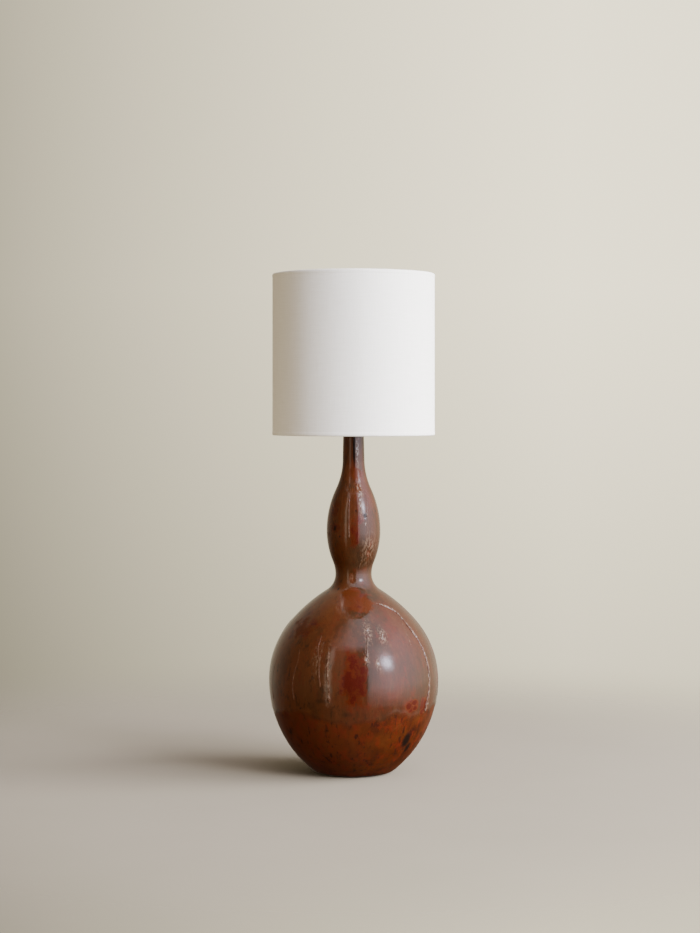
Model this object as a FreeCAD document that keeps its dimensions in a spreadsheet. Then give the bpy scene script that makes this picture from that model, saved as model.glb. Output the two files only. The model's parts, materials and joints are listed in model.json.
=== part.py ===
"""Double gourd table lamp: a glazed stoneware base, a harp lamp holder and a fabric drum shade.

Millimetres, +Z up. The origin is on the lamp's axis, where the felt meets the table.
The front is -Y: the switch knob points there, the cord leaves at the back.
"""
import FreeCAD, Part
import Sketcher
import itertools
import math
import os

DRIVING_SIZES = {
    # stoneware, outside: a low belly, a waist, a slim upper bulge and a straight neck
    "felt_thickness": 2.0,
    "felt_setback": 8.1,
    "foot_radius": 62.1,
    "foot_ledge": 17.1,
    "foot_round": 8.0,
    "belly_radius": 131.5,
    "belly_height": 144.0,
    "belly_side_radius": 138.5,
    "shoulder_rise": 89.0,
    "shoulder_radius": 245.0,
    "waist_radius": 27.8,
    "waist_lower_radius": 29.4,
    "waist_upper_radius": 51.0,
    "bulge_radius": 41.3,
    "bulge_lower_radius": 127.0,
    "bulge_upper_radius": 153.0,
    "neck_hollow_radius": 112.2,
    "neck_radius": 16.5,
    "neck_length": 46.0,
    "neck_top_radius": 15.5,
    "lip_round": 1.5,
    # stoneware, inside
    "wall": 7.0,
    "floor_thickness": 8.0,
    # cord inlet at the back of the foot
    "recess_margin": 1.0,
    "cord_hole_radius": 6.0,
    "bush_bore_radius": 4.0,
    "bush_flange_radius": 7.0,
    "bush_flange_thickness": 1.5,
    "bush_length": 26.0,
    "bush_clearance": 0.1,
    # threaded pipe and what clamps the base on it
    "pipe_radius": 4.9,
    "pipe_bore_radius": 3.5,
    "pipe_clearance": 0.1,
    "pipe_hole_radius": 6.0,
    "pipe_overhang": 2.0,
    "washer_radius": 20.0,
    "washer_thickness": 2.0,
    "base_nut_flats": 14.3,
    "base_nut_thickness": 4.5,
    "neck_cap_overhang": 1.6,
    "neck_cap_edge": 1.6,
    "neck_cap_thickness": 4.0,
    "neck_cap_crown_radius": 9.5,
    "lock_ring_flats": 17.0,
    "lock_ring_thickness": 4.0,
    # harp saddle, ferrules, harp
    "saddle_gauge": 1.6,
    "saddle_hub_radius": 10.0,
    "saddle_width": 9.0,
    "saddle_bend": 7.0,
    "tongue_width": 5.0,
    "tongue_height": 24.0,
    "leg_spacing": 57.0,
    "wire_radius": 2.0,
    "leg_gap": 0.3,
    "leg_foot_gap": 1.0,
    "leg_length": 26.0,
    "ferrule_bore_radius": 4.3,
    "ferrule_radius": 5.3,
    "ferrule_length": 14.0,
    "ferrule_height": 8.0,
    "harp_half_width": 53.0,
    "harp_widest_height": 112.0,
    "harp_lower_radius": 75.0,
    "harp_crown_radius": 34.0,
    "harp_crown_start": 6.6,
    "seat_radius": 8.0,
    "stud_radius": 3.1,
    "stud_length": 12.0,
    "stud_chamfer": 0.8,
    "stud_flange_radius": 8.0,
    "stud_flange_thickness": 2.0,
    "stud_shank_radius": 2.5,
    "stud_head_radius": 4.0,
    "stud_head_thickness": 1.6,
    "running_clearance": 0.05,
    # lamp holder
    "cap_radius": 17.5,
    "cap_height": 20.0,
    "cap_hub_radius": 8.0,
    "cap_hub_height": 8.0,
    "cap_hub_rise": 2.4,
    "cap_dome_height": 12.0,
    "cap_dome_radius": 11.5,
    "cap_gauge": 0.8,
    "set_screw_radius": 1.6,
    "set_screw_head_radius": 2.8,
    "set_screw_head_thickness": 2.0,
    "set_screw_height": 4.0,
    "set_screw_slot": 0.8,
    "shell_length": 50.0,
    "shell_gauge": 0.6,
    "shell_base_height": 12.5,
    "shell_bead": 0.9,
    "shell_gap": 0.1,
    "liner_gauge": 0.9,
    "liner_setback": 2.0,
    "core_gap": 0.3,
    "core_height": 22.0,
    "core_flat": 11.5,
    "spindle_height": 30.0,
    "spindle_radius": 1.6,
    "spindle_hole_radius": 3.6,
    "spindle_length": 21.0,
    "spindle_depth": 11.0,
    "knob_radius": 5.2,
    "knob_length": 17.0,
    "knob_gap": 3.0,
    "knob_flute_radius": 0.9,
    "knob_round": 1.2,
    "contact_shell_radius": 13.5,
    "contact_shell_gauge": 0.4,
    "contact_shell_length": 20.0,
    "contact_shell_window": 6.5,
    "leaf_width": 5.0,
    "leaf_gauge": 0.5,
    "leaf_reach": 4.0,
    "leaf_rise": 3.0,
    "terminal_radius": 1.4,
    "terminal_head_radius": 2.6,
    "terminal_head_thickness": 1.6,
    "terminal_depth": 5.0,
    "terminal_height": 12.0,
    # bulb
    "bulb_cap_radius": 13.1,
    "bulb_cap_length": 21.0,
    "bulb_cap_gauge": 0.4,
    "bulb_tip_gap": 0.6,
    "bulb_tip_radius": 4.0,
    "bulb_tip_height": 0.8,
    "bulb_insulator_height": 3.4,
    "glass_radius": 30.0,
    "glass_neck_radius": 12.5,
    "glass_neck_length": 9.0,
    "glass_centre_height": 52.0,
    "glass_gauge": 1.0,
    # shade: a fabric cover laminated to a stiff liner, with its edges turned over two rings
    "shade_radius": 127.0,
    "shade_height": 252.0,
    "shade_overlap": 9.5,
    "spider_drop": 25.5,
    "cover_gauge": 0.8,
    "shade_liner_gauge": 1.0,
    "ring_wire_radius": 1.5,
    "ring_gap": 0.1,
    "hem_depth": 2.4,
    "arm_wire_radius": 1.5,
    "arm_bend": 9.0,
    "arm_start_radius": 8.0,
    "weld_depth": 0.6,
    "spider_washer_radius": 14.0,
    "spider_hole_radius": 4.2,
    "spider_washer_thickness": 1.6,
    "finial_base_radius": 6.5,
    "finial_base_thickness": 3.0,
    "finial_neck_radius": 4.4,
    "finial_neck_height": 6.0,
    "finial_ball_radius": 6.8,
    "finial_bore_depth": 11.4,
}
ROLLED_EDGE = 0.6  # radius of a rolled edge, as a share of its height
DISHED_CROWN = 1.25  # radius of a shallow crown, as a share of its width
KNOB_FLUTES = 14
SPIDER_ARMS = 3
FULL_TURN = 360.0


class Size:
    """A length with its value and the formula that keeps it bound to the sheet."""

    def __init__(self, value, text=None):
        self.value = float(value)
        self.text = text if text is not None else repr(float(value))

    def joined(self, other, sign, result):
        return Size(result, f"({self.text} {sign} {as_size(other).text})")

    def __add__(self, other):
        return self.joined(other, "+", self.value + as_size(other).value)

    def __sub__(self, other):
        return self.joined(other, "-", self.value - as_size(other).value)

    def __mul__(self, other):
        return self.joined(other, "*", self.value * as_size(other).value)

    def __truediv__(self, other):
        return self.joined(other, "/", self.value / as_size(other).value)

    def __neg__(self):
        return Size(-self.value, f"(-1 * {self.text})")


def as_size(number):
    return number if isinstance(number, Size) else Size(number)


def third_side(slant, side):
    """Remaining side of a right-angled triangle."""
    square = slant * slant - side * side
    return Size(math.sqrt(square.value), f"sqrt({square.text})")


ZERO = Size(0)

document = FreeCAD.newDocument("gourd_lamp")
sheet = document.addObject("Spreadsheet::Sheet", "Sizes")
sheet_rows = itertools.count(1)


def fill_row(alias, content):
    row = next(sheet_rows)
    sheet.set(f"A{row}", alias)
    sheet.set(f"B{row}", content)
    sheet.setAlias(f"B{row}", alias)


for name, number in DRIVING_SIZES.items():
    fill_row(name, str(number))
document.recompute()


class Sizes:
    """Every driving dimension by its name, as a Size bound to its cell."""

    def __getattr__(self, alias):
        return Size(DRIVING_SIZES[alias], f"Sizes.{alias}")


s = Sizes()
parts = []


def derived(alias, size):
    """Give a formula its own cell, so that later formulas can name it."""
    fill_row(alias, "=" + size.text.replace("Sizes.", ""))
    document.recompute()
    return Size(size.value, f"Sizes.{alias}")


# ---------------------------------------------------------------- sketch and feature helpers

def new_body(label):
    body = document.addObject("PartDesign::Body", label)
    body.Label = label
    parts.append(body)
    return body


def new_sketch(body, role, name):
    """Sketch on one of the body's own origin planes."""
    sketch = body.newObject("Sketcher::SketchObject", name)
    plane = next(item for item in body.Origin.OriginFeatures if item.Role == role)
    sketch.AttachmentSupport = (plane, [""])
    sketch.MapMode = "FlatFace"
    return sketch


def pin(sketch, geometry, position, across=None, up=None):
    """Hold a point of the sketch at formulas for its two coordinates."""
    for kind, length, axis in (("DistanceX", across, -2), ("DistanceY", up, -1)):
        if length is None:
            continue
        if length is ZERO:
            sketch.addConstraint(Sketcher.Constraint("PointOnObject", geometry, position, axis))
        elif length.value < 0:
            index = sketch.addConstraint(
                Sketcher.Constraint(kind, geometry, position, -1, 1, -length.value))
            sketch.setExpression(f"Constraints[{index}]", (-length).text)
        else:
            index = sketch.addConstraint(
                Sketcher.Constraint(kind, -1, 1, geometry, position, length.value))
            sketch.setExpression(f"Constraints[{index}]", length.text)


def hold_radius(sketch, geometry, radius):
    index = sketch.addConstraint(Sketcher.Constraint("Radius", geometry, radius.value))
    sketch.setExpression(f"Constraints[{index}]", radius.text)


def add_arc(sketch, centre, radius, start, end):
    """Arc of a circle, anticlockwise from one angle to the other."""
    circle = Part.Circle(FreeCAD.Vector(*centre, 0), FreeCAD.Vector(0, 0, 1), radius)
    return sketch.addGeometry(Part.ArcOfCircle(circle, start, end), False)


def arc_between(first, last, radius, turn):
    """Centre and angles of the short arc from first to last; turn is +1 anticlockwise."""
    chord = math.dist(first, last)
    rise = math.sqrt(max(radius ** 2 - chord ** 2 / 4, 0))
    across, up = (last[0] - first[0]) / chord, (last[1] - first[1]) / chord
    centre = ((first[0] + last[0]) / 2 - turn * rise * up, (first[1] + last[1]) / 2 + turn * rise * across)
    angles = [math.atan2(point[1] - centre[1], point[0] - centre[0]) for point in (first, last)]
    start, end = angles if turn > 0 else angles[::-1]
    return centre, start, end if end > start else end + 2 * math.pi


def draw_outline(sketch, corners, closed=True):
    """Draw an outline from corner to corner, each held at its formulas.

    A corner is (across, up), or (across, up, radius, turn) where an arc leaves it.
    """
    last = len(corners) if closed else len(corners) - 1
    ends = []
    for number in range(last):
        corner, following = corners[number], corners[(number + 1) % len(corners)]
        here = (corner[0].value, corner[1].value)
        there = (following[0].value, following[1].value)
        if len(corner) == 4:
            radius, turn = corner[2:]
            centre, start, end = arc_between(here, there, radius.value, turn)
            geometry = add_arc(sketch, centre, radius.value, start, end)
            hold_radius(sketch, geometry, radius)
            ends.append((geometry, 1, 2) if turn > 0 else (geometry, 2, 1))
        else:
            line = Part.LineSegment(FreeCAD.Vector(*here, 0), FreeCAD.Vector(*there, 0))
            ends.append((sketch.addGeometry(line, False), 1, 2))
        pin(sketch, ends[-1][0], ends[-1][1], corner[0], corner[1])
    for number in range(1 if not closed else 0, last):
        before, after = ends[number - 1], ends[number]
        sketch.addConstraint(Sketcher.Constraint("Coincident", before[0], before[2], after[0], after[1]))
    if not closed:
        pin(sketch, ends[-1][0], ends[-1][2], corners[-1][0], corners[-1][1])


def draw_circle(sketch, radius, across=ZERO, up=ZERO):
    circle = Part.Circle(FreeCAD.Vector(across.value, up.value, 0), FreeCAD.Vector(0, 0, 1), radius.value)
    geometry = sketch.addGeometry(circle, False)
    hold_radius(sketch, geometry, radius)
    pin(sketch, geometry, 3, across, up)


def draw_hexagon(sketch, flats):
    """Hexagon with two flats parallel to the sketch's first axis."""
    half = flats / 2
    side = flats / math.sqrt(3)
    draw_outline(sketch, [(side, ZERO), (side / 2, half), (-side / 2, half),
                          (-side, ZERO), (-side / 2, -half), (side / 2, -half)])


def revolve(body, sketch, kind="Revolution", name="Turned"):
    turned = body.newObject(f"PartDesign::{kind}", name)
    turned.Profile = sketch
    turned.ReferenceAxis = (sketch, ["V_Axis"])
    turned.Angle = FULL_TURN
    return turned


def extrude(body, sketch, length, kind="Pad", reverse=False, both_ways=False, name="Raised"):
    feature = body.newObject(f"PartDesign::{kind}", name)
    feature.Profile = sketch
    feature.setExpression("Length", length.text)
    feature.Reversed = reverse
    feature.Midplane = both_ways
    return feature


def cut(body, sketch, length, **options):
    """Pocket that has to take something away."""
    document.recompute()
    before = body.Shape.Volume
    pocket = extrude(body, sketch, length, kind="Pocket", **options)
    document.recompute()
    if body.Shape.Volume >= before:
        raise RuntimeError(f"{body.Label}: {pocket.Name} cuts nothing")
    return pocket


def round_edges(body, radius, wanted):
    """Fillet the edges that the test picks out."""
    document.recompute()
    names = [f"Edge{number}" for number, edge in enumerate(body.Shape.Edges, start=1) if wanted(edge)]
    if not names:
        raise RuntimeError(f"{body.Label} has no such edge to round")
    before = body.Tip
    fillet = body.newObject("PartDesign::Fillet", "Rounded")
    fillet.Base = (before, names)
    fillet.setExpression("Radius", radius.text)


def is_ring(radius, height):
    """Test for a round edge of one radius at one height."""
    def test(edge):
        curve = edge.Curve
        return (isinstance(curve, Part.Circle) and abs(curve.Radius - radius.value) < 1e-4
                and abs(curve.Center.z - height.value) < 1e-4)
    return test


def turned_part(label, corners):
    """Piece turned about its own Z axis."""
    body = new_body(label)
    sketch = new_sketch(body, "XZ_Plane", "Section")
    draw_outline(sketch, corners)
    revolve(body, sketch)
    return body


def tube(label, inner, outer, bottom, top):
    return turned_part(label, [(inner, bottom), (outer, bottom), (outer, top), (inner, top)])


def place(part, across=ZERO, back=ZERO, up=ZERO, axis=None, angle=0):
    """Put a part at a bound place, turned about an axis through it."""
    if axis:
        part.Placement.Rotation = FreeCAD.Rotation(FreeCAD.Vector(*axis), angle)
    for letter, length in (("x", across), ("y", back), ("z", up)):
        if length is not ZERO:
            part.setExpression(f"Placement.Base.{letter}", length.text)
    return part


# ---------------------------------------------------------------- stoneware

foot_height = s.felt_thickness
recess_radius = s.foot_radius - s.foot_ledge
recess_depth = s.bush_flange_radius * 2 + s.recess_margin
recess_top = foot_height + recess_depth
cord_hole_height = foot_height + recess_depth / 2
floor_top = recess_top + s.floor_thickness

# one arc runs from the foot to the upright tangent at the belly
foot_step = s.belly_radius - s.foot_radius
foot_drop = s.belly_height - foot_height
foot_curve = derived("foot_curve_radius", (foot_drop * foot_drop + foot_step * foot_step) / (foot_step * 2))

# the belly's side arc runs over into the flatter shoulder arc at the shoulder's height
shoulder_gain = s.shoulder_radius - s.belly_side_radius
shoulder_across = derived("shoulder_centre_across", s.belly_radius - s.belly_side_radius - shoulder_gain
                          * third_side(s.belly_side_radius, s.shoulder_rise) / s.belly_side_radius)
shoulder_up = derived("shoulder_centre_height",
                      s.belly_height - shoulder_gain * s.shoulder_rise / s.belly_side_radius)


def span(wide, narrow, radii):
    """Height between two upright tangents joined by a swelling and a hollow arc."""
    step = wide - narrow
    return third_side(radii, radii - step)


# the arcs' radii set the heights of the waist, of the upper bulge and of the neck's foot
waist_height = derived("waist_height", shoulder_up + third_side(
    s.shoulder_radius + s.waist_lower_radius, s.waist_radius + s.waist_lower_radius - shoulder_across))
bulge_height = derived("bulge_height", waist_height + span(
    s.bulge_radius, s.waist_radius, s.bulge_lower_radius + s.waist_upper_radius))
neck_foot_height = derived("neck_foot_height", bulge_height + span(
    s.bulge_radius, s.neck_radius, s.bulge_upper_radius + s.neck_hollow_radius))
neck_top_height = derived("neck_top_height", neck_foot_height + s.neck_length)
shade_base = derived("shade_base_height", neck_top_height - s.shade_overlap)
shade_top = derived("shade_top_height", shade_base + s.shade_height)


def gourd_arcs():
    """Arcs of the double gourd, from the foot up: centre across, centre up, radius and sense.

    Sense is 1 where the wall swells and -1 where it is hollow.
    """
    def upright(width, height, radius, sense):
        """Arc whose tangent is upright at the given place."""
        return width - radius * sense, height, radius, sense
    return [upright(s.belly_radius, s.belly_height, foot_curve, 1),
            upright(s.belly_radius, s.belly_height, s.belly_side_radius, 1),
            (shoulder_across, shoulder_up, s.shoulder_radius, 1),
            upright(s.waist_radius, waist_height, s.waist_lower_radius, -1),
            upright(s.waist_radius, waist_height, s.waist_upper_radius, -1),
            upright(s.bulge_radius, bulge_height, s.bulge_lower_radius, 1),
            upright(s.bulge_radius, bulge_height, s.bulge_upper_radius, 1),
            upright(s.neck_radius, neck_foot_height, s.neck_hollow_radius, -1)]


def draw_gourd_wall(sketch, inset, start_height):
    """Chain of eight tangent arcs from the start height to the foot of the neck.

    An inset wall has the same centres: a swelling arc loses the inset, a hollow one gains it.
    """
    arcs = [((across.value, up.value), radius - inset * sense, sense)
            for across, up, radius, sense in gourd_arcs()]
    leans = [math.asin((start_height.value - arcs[0][0][1]) / arcs[0][1].value)]
    for (first, first_radius, first_sense), (second, second_radius, second_sense) in zip(arcs, arcs[1:]):
        lean = math.atan2(second[1] - first[1], second[0] - first[0])
        backwards = first_sense < 0
        if first_sense == second_sense:
            backwards = second_radius.value > first_radius.value
        level = abs(second[1] - first[1]) < 1e-9
        leans.append(0.0 if level else math.remainder(lean + math.pi * backwards, 2 * math.pi))
    leans.append(0.0)
    for (centre, radius, sense), low, high in zip(arcs, leans, leans[1:]):
        if sense > 0:
            add_arc(sketch, centre, radius.value, low, high)
        else:
            add_arc(sketch, centre, radius.value, math.pi + high, math.pi + low)
    foot = [1 if arc[2] > 0 else 2 for arc in arcs]
    head = [2 if arc[2] > 0 else 1 for arc in arcs]
    for number in range(len(arcs) - 1):
        sketch.addConstraint(
            Sketcher.Constraint("Tangent", number, head[number], number + 1, foot[number + 1]))
    for number, width, height in ((0, s.belly_radius, s.belly_height), (3, s.waist_radius, waist_height),
                                  (5, s.bulge_radius, bulge_height), (7, s.neck_radius, neck_foot_height)):
        pin(sketch, number, head[number], width - inset, height)
        sketch.addConstraint(Sketcher.Constraint("Horizontal", number, head[number], number, 3))
    for number in (0, 1, 2, 5, 6):
        hold_radius(sketch, number, arcs[number][1])
    pin(sketch, 0, foot[0], None, start_height)
    # concentric walls part at the same lean, so the inner joint is lower by its share
    share = (s.belly_side_radius - inset) / s.belly_side_radius
    pin(sketch, 1, head[1], None, s.belly_height + s.shoulder_rise * share)
    return (0, foot[0]), (len(arcs) - 1, head[-1])


def close_to_axis(sketch, lower_end, upper_end, corners, bottom):
    """Join the wall's upper end through the corners to the axis and back to its lower end."""
    path = [sketch.getPoint(*upper_end)] + [FreeCAD.Vector(a.value, b.value, 0) for a, b in corners]
    path += [FreeCAD.Vector(0, bottom.value, 0), sketch.getPoint(*lower_end)]
    lines = [sketch.addGeometry(Part.LineSegment(first, second), False)
             for first, second in zip(path, path[1:])]
    sketch.addConstraint(Sketcher.Constraint("Coincident", *upper_end, lines[0], 1))
    for first, second in zip(lines, lines[1:]):
        sketch.addConstraint(Sketcher.Constraint("Coincident", first, 2, second, 1))
    for line, corner in zip(lines, corners):
        pin(sketch, line, 2, *corner)
    pin(sketch, lines[-1], 1, ZERO, bottom)
    sketch.addConstraint(Sketcher.Constraint("Coincident", lines[-1], 2, *lower_end))


def make_gourd_body():
    body = new_body("gourd_body")
    outside = new_sketch(body, "XZ_Plane", "OuterForm")
    low, high = draw_gourd_wall(outside, ZERO, foot_height)
    close_to_axis(outside, low, high,
                  [(s.neck_top_radius, neck_top_height), (ZERO, neck_top_height)], foot_height)
    revolve(body, outside)
    round_edges(body, s.lip_round, is_ring(s.neck_top_radius, neck_top_height))
    round_edges(body, s.foot_round, is_ring(s.foot_radius, foot_height))
    bore = s.neck_radius - s.wall
    inside = new_sketch(body, "XZ_Plane", "Cavity")
    low, high = draw_gourd_wall(inside, s.wall, floor_top)
    above = neck_top_height + s.wall
    close_to_axis(inside, low, high, [(bore, above), (ZERO, above)], floor_top)
    revolve(body, inside, kind="Groove", name="Hollowed")
    recess = new_sketch(body, "XY_Plane", "FootRecess")
    draw_circle(recess, recess_radius)
    cut(body, recess, recess_top, reverse=True, name="Recessed")
    pipe_hole = new_sketch(body, "XY_Plane", "PipeHole")
    draw_circle(pipe_hole, s.pipe_hole_radius)
    cut(body, pipe_hole, floor_top + s.wall, reverse=True, name="PipeDrilled")
    cord_hole = new_sketch(body, "XZ_Plane", "CordHole")
    draw_circle(cord_hole, s.cord_hole_radius, ZERO, cord_hole_height)
    cut(body, cord_hole, s.belly_radius, name="CordDrilled")


def make_base_fittings():
    tube("base_felt", ZERO, s.foot_radius - s.felt_setback, ZERO, s.felt_thickness)
    seat = third_side(recess_radius, s.bush_flange_radius)
    bore, sleeve = s.bush_bore_radius, s.cord_hole_radius - s.bush_clearance
    bush = turned_part("cord_bush", [
        (bore, -s.bush_flange_thickness), (s.bush_flange_radius, -s.bush_flange_thickness),
        (s.bush_flange_radius, ZERO), (sleeve, ZERO), (sleeve, s.bush_length), (bore, s.bush_length)])
    place(bush, back=seat, up=cord_hole_height, axis=(1, 0, 0), angle=-90)


# ---------------------------------------------------------------- pipe, nuts and neck cap

washer_bottom = recess_top - s.washer_thickness
nut_bottom = washer_bottom - s.base_nut_thickness
pipe_bottom = nut_bottom - s.pipe_overhang
cap_top = neck_top_height + s.neck_cap_thickness
saddle_bottom = cap_top + s.lock_ring_thickness
socket_bottom = saddle_bottom + s.saddle_gauge
pipe_top = socket_bottom + s.cap_hub_height - s.cap_gauge
thread_hole = s.pipe_radius + s.pipe_clearance


def make_nut(label, flats, bottom, thickness):
    """Hexagon nut on the pipe."""
    body = new_body(label)
    sketch = new_sketch(body, "XY_Plane", "Hexagon")
    draw_hexagon(sketch, flats)
    extrude(body, sketch, thickness)
    hole = new_sketch(body, "XY_Plane", "ThreadHole")
    draw_circle(hole, thread_hole)
    cut(body, hole, thickness, reverse=True)
    place(body, up=bottom)


def make_pipe_and_clamps():
    tube("lamp_pipe", s.pipe_bore_radius, s.pipe_radius, pipe_bottom, pipe_top)
    tube("base_washer", thread_hole, s.washer_radius, washer_bottom, recess_top)
    make_nut("base_nut", s.base_nut_flats, nut_bottom, s.base_nut_thickness)
    rim = s.neck_top_radius + s.neck_cap_overhang
    edge_top = neck_top_height + s.neck_cap_edge
    crown = rim - s.neck_cap_crown_radius
    turned_part("neck_cap", [
        (thread_hole, neck_top_height), (rim, neck_top_height, s.neck_cap_edge * ROLLED_EDGE, 1),
        (rim, edge_top, crown * DISHED_CROWN, -1), (s.neck_cap_crown_radius, cap_top),
        (thread_hole, cap_top)])
    make_nut("lock_ring", s.lock_ring_flats, cap_top, s.lock_ring_thickness)


# ---------------------------------------------------------------- harp

tongue_inside = s.leg_spacing / 2 + s.saddle_gauge / 2
tongue_outside = tongue_inside + s.saddle_gauge
tongue_top = saddle_bottom + s.tongue_height
leg_centre = tongue_inside - s.leg_gap - s.wire_radius
leg_foot = saddle_bottom + s.saddle_bend + s.saddle_gauge + s.leg_foot_gap
leg_top = leg_foot + s.leg_length
ferrule_bottom = saddle_bottom + s.ferrule_height + s.saddle_gauge
seat_middle = shade_top - s.spider_drop
seat_bottom = seat_middle - s.wire_radius
seat_top = seat_middle + s.wire_radius
stud_seat = seat_top + s.running_clearance + s.stud_flange_thickness


def make_harp_saddle():
    body = new_body("harp_saddle")
    strap = new_sketch(body, "XZ_Plane", "Strap")
    bend_in, bend_out = s.saddle_bend, s.saddle_bend + s.saddle_gauge
    top = socket_bottom
    flat = tongue_outside - bend_out
    draw_outline(strap, [
        (-flat, saddle_bottom), (flat, saddle_bottom, bend_out, 1),
        (tongue_outside, saddle_bottom + bend_out), (tongue_outside, tongue_top),
        (tongue_inside, tongue_top), (tongue_inside, saddle_bottom + bend_out, bend_in, -1),
        (tongue_inside - bend_in, top), (-(tongue_inside - bend_in), top, bend_in, -1),
        (-tongue_inside, saddle_bottom + bend_out), (-tongue_inside, tongue_top),
        (-tongue_outside, tongue_top), (-tongue_outside, saddle_bottom + bend_out, bend_out, 1)])
    extrude(body, strap, s.saddle_width, both_ways=True)
    # the upright tongues are narrower than the strap
    shoulder = saddle_bottom + bend_out
    half, wide = s.tongue_width / 2, s.saddle_width
    sides = new_sketch(body, "YZ_Plane", "TongueSides")
    for first, second in ((half, wide), (-wide, -half)):
        draw_outline(sides, [(first, shoulder), (second, shoulder),
                             (second, tongue_top + wide), (first, tongue_top + wide)])
    cut(body, sides, tongue_outside * 3, both_ways=True, name="Narrowed")
    hub = new_sketch(body, "XY_Plane", "Hub")
    draw_circle(hub, s.saddle_hub_radius)
    hub.setExpression("AttachmentOffset.Base.z", saddle_bottom.text)
    extrude(body, hub, s.saddle_gauge)
    hole = new_sketch(body, "XY_Plane", "PipeHole")
    draw_circle(hole, thread_hole)
    cut(body, hole, tongue_top, reverse=True, name="Drilled")


def make_harp_loop():
    """Wire loop: half of it is swept up one side and mirrored, then the seat is added."""
    body = new_body("harp_loop")
    path = new_sketch(body, "XZ_Plane", "Path")
    leg = leg_centre.value
    widest = (s.harp_half_width.value, saddle_bottom.value + s.harp_widest_height.value)
    lower, crown, crown_across = (
        s.harp_lower_radius.value, s.harp_crown_radius.value, s.harp_crown_start.value)
    # below the widest place an inward arc answers the lower arc down to the upright leg
    step, height = widest[0] - leg, widest[1] - leg_top.value
    answer = (step ** 2 + height ** 2) / (2 * step) - lower
    low = math.asin(height / (lower + answer))
    # above it a flat arc leads to the crown arc, which ends level at the seat
    crown_height = seat_middle.value - crown
    reach, lift = widest[0] - crown_across, crown_height - widest[1]
    upper = (reach ** 2 + lift ** 2 - crown ** 2) / (2 * (reach - crown))
    high = math.asin(lift / (upper - crown))
    line = Part.LineSegment(FreeCAD.Vector(leg, leg_foot.value, 0), FreeCAD.Vector(leg, leg_top.value, 0))
    sketch_line = path.addGeometry(line, False)
    answer_arc = add_arc(path, (leg + answer, leg_top.value), answer, math.pi - low, math.pi)
    lower_arc = add_arc(path, (widest[0] - lower, widest[1]), lower, -low, 0)
    upper_arc = add_arc(path, (widest[0] - upper, widest[1]), upper, 0, high)
    crown_arc = add_arc(path, (crown_across, crown_height), crown, high, math.pi / 2)
    seat_line = path.addGeometry(Part.LineSegment(
        FreeCAD.Vector(crown_across, seat_middle.value, 0), FreeCAD.Vector(0, seat_middle.value, 0)), False)
    for joint in ((sketch_line, 2, answer_arc, 2), (answer_arc, 1, lower_arc, 1),
                  (lower_arc, 2, upper_arc, 1), (upper_arc, 2, crown_arc, 1), (crown_arc, 2, seat_line, 1)):
        path.addConstraint(Sketcher.Constraint("Tangent", *joint))
    path.addConstraint(Sketcher.Constraint("Vertical", sketch_line))
    path.addConstraint(Sketcher.Constraint("Horizontal", lower_arc, 2, lower_arc, 3))
    pin(path, sketch_line, 1, leg_centre, leg_foot)
    pin(path, sketch_line, 2, None, leg_top)
    pin(path, lower_arc, 2, s.harp_half_width, saddle_bottom + s.harp_widest_height)
    hold_radius(path, lower_arc, s.harp_lower_radius)
    hold_radius(path, crown_arc, s.harp_crown_radius)
    pin(path, crown_arc, 3, s.harp_crown_start)
    pin(path, seat_line, 2, ZERO, seat_middle)
    path.addConstraint(Sketcher.Constraint("Horizontal", seat_line))
    section = new_sketch(body, "XY_Plane", "Wire")
    draw_circle(section, s.wire_radius, leg_centre, ZERO)
    section.setExpression("AttachmentOffset.Base.z", leg_foot.text)
    sweep = body.newObject("PartDesign::AdditivePipe", "Bent")
    sweep.Profile = section
    sweep.Spine = (path, [])
    document.recompute()
    mirror = body.newObject("PartDesign::Mirrored", "OtherSide")
    mirror.Originals = [sweep]
    plane = next(item for item in body.Origin.OriginFeatures if item.Role == "YZ_Plane")
    mirror.MirrorPlane = (plane, [""])
    body.Tip = mirror
    seat = new_sketch(body, "XY_Plane", "Seat")
    draw_circle(seat, s.seat_radius)
    seat.setExpression("AttachmentOffset.Base.z", seat_bottom.text)
    extrude(body, seat, s.wire_radius * 2)
    hole = new_sketch(body, "XY_Plane", "StudHole")
    draw_circle(hole, s.stud_shank_radius + s.running_clearance)
    cut(body, hole, seat_top + s.seat_radius, reverse=True, name="Drilled")


def make_ferrules():
    """Sleeves that slip down over the wire and the saddle's tongue to lock the harp."""
    lip = s.ferrule_radius - s.ferrule_bore_radius
    for label, side in (("ferrule_left", -1), ("ferrule_right", 1)):
        sleeve = turned_part(label, [
            (s.ferrule_bore_radius, ZERO), (s.ferrule_radius - lip / 2, ZERO),
            (s.ferrule_radius, lip / 2), (s.ferrule_radius, s.ferrule_length - lip),
            (s.ferrule_radius - lip / 2, s.ferrule_length), (s.ferrule_bore_radius, s.ferrule_length)])
        place(sleeve, across=s.leg_spacing / 2 * side, up=ferrule_bottom)


def make_shade_stud():
    """Swivelling stud riveted through the seat; the finial screws on its top."""
    shank, flange = s.stud_shank_radius, s.stud_flange_radius
    head_top = seat_bottom - s.running_clearance
    head_bottom = head_top - s.stud_head_thickness
    flange_bottom = seat_top + s.running_clearance
    tip = stud_seat + s.stud_length
    turned_part("shade_stud", [
        (ZERO, head_bottom), (s.stud_head_radius, head_bottom), (s.stud_head_radius, head_top),
        (shank, head_top), (shank, flange_bottom), (flange, flange_bottom), (flange, stud_seat),
        (s.stud_radius, stud_seat), (s.stud_radius, tip - s.stud_chamfer),
        (s.stud_radius - s.stud_chamfer, tip), (ZERO, tip)])


# ---------------------------------------------------------------- lamp holder and switch

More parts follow.
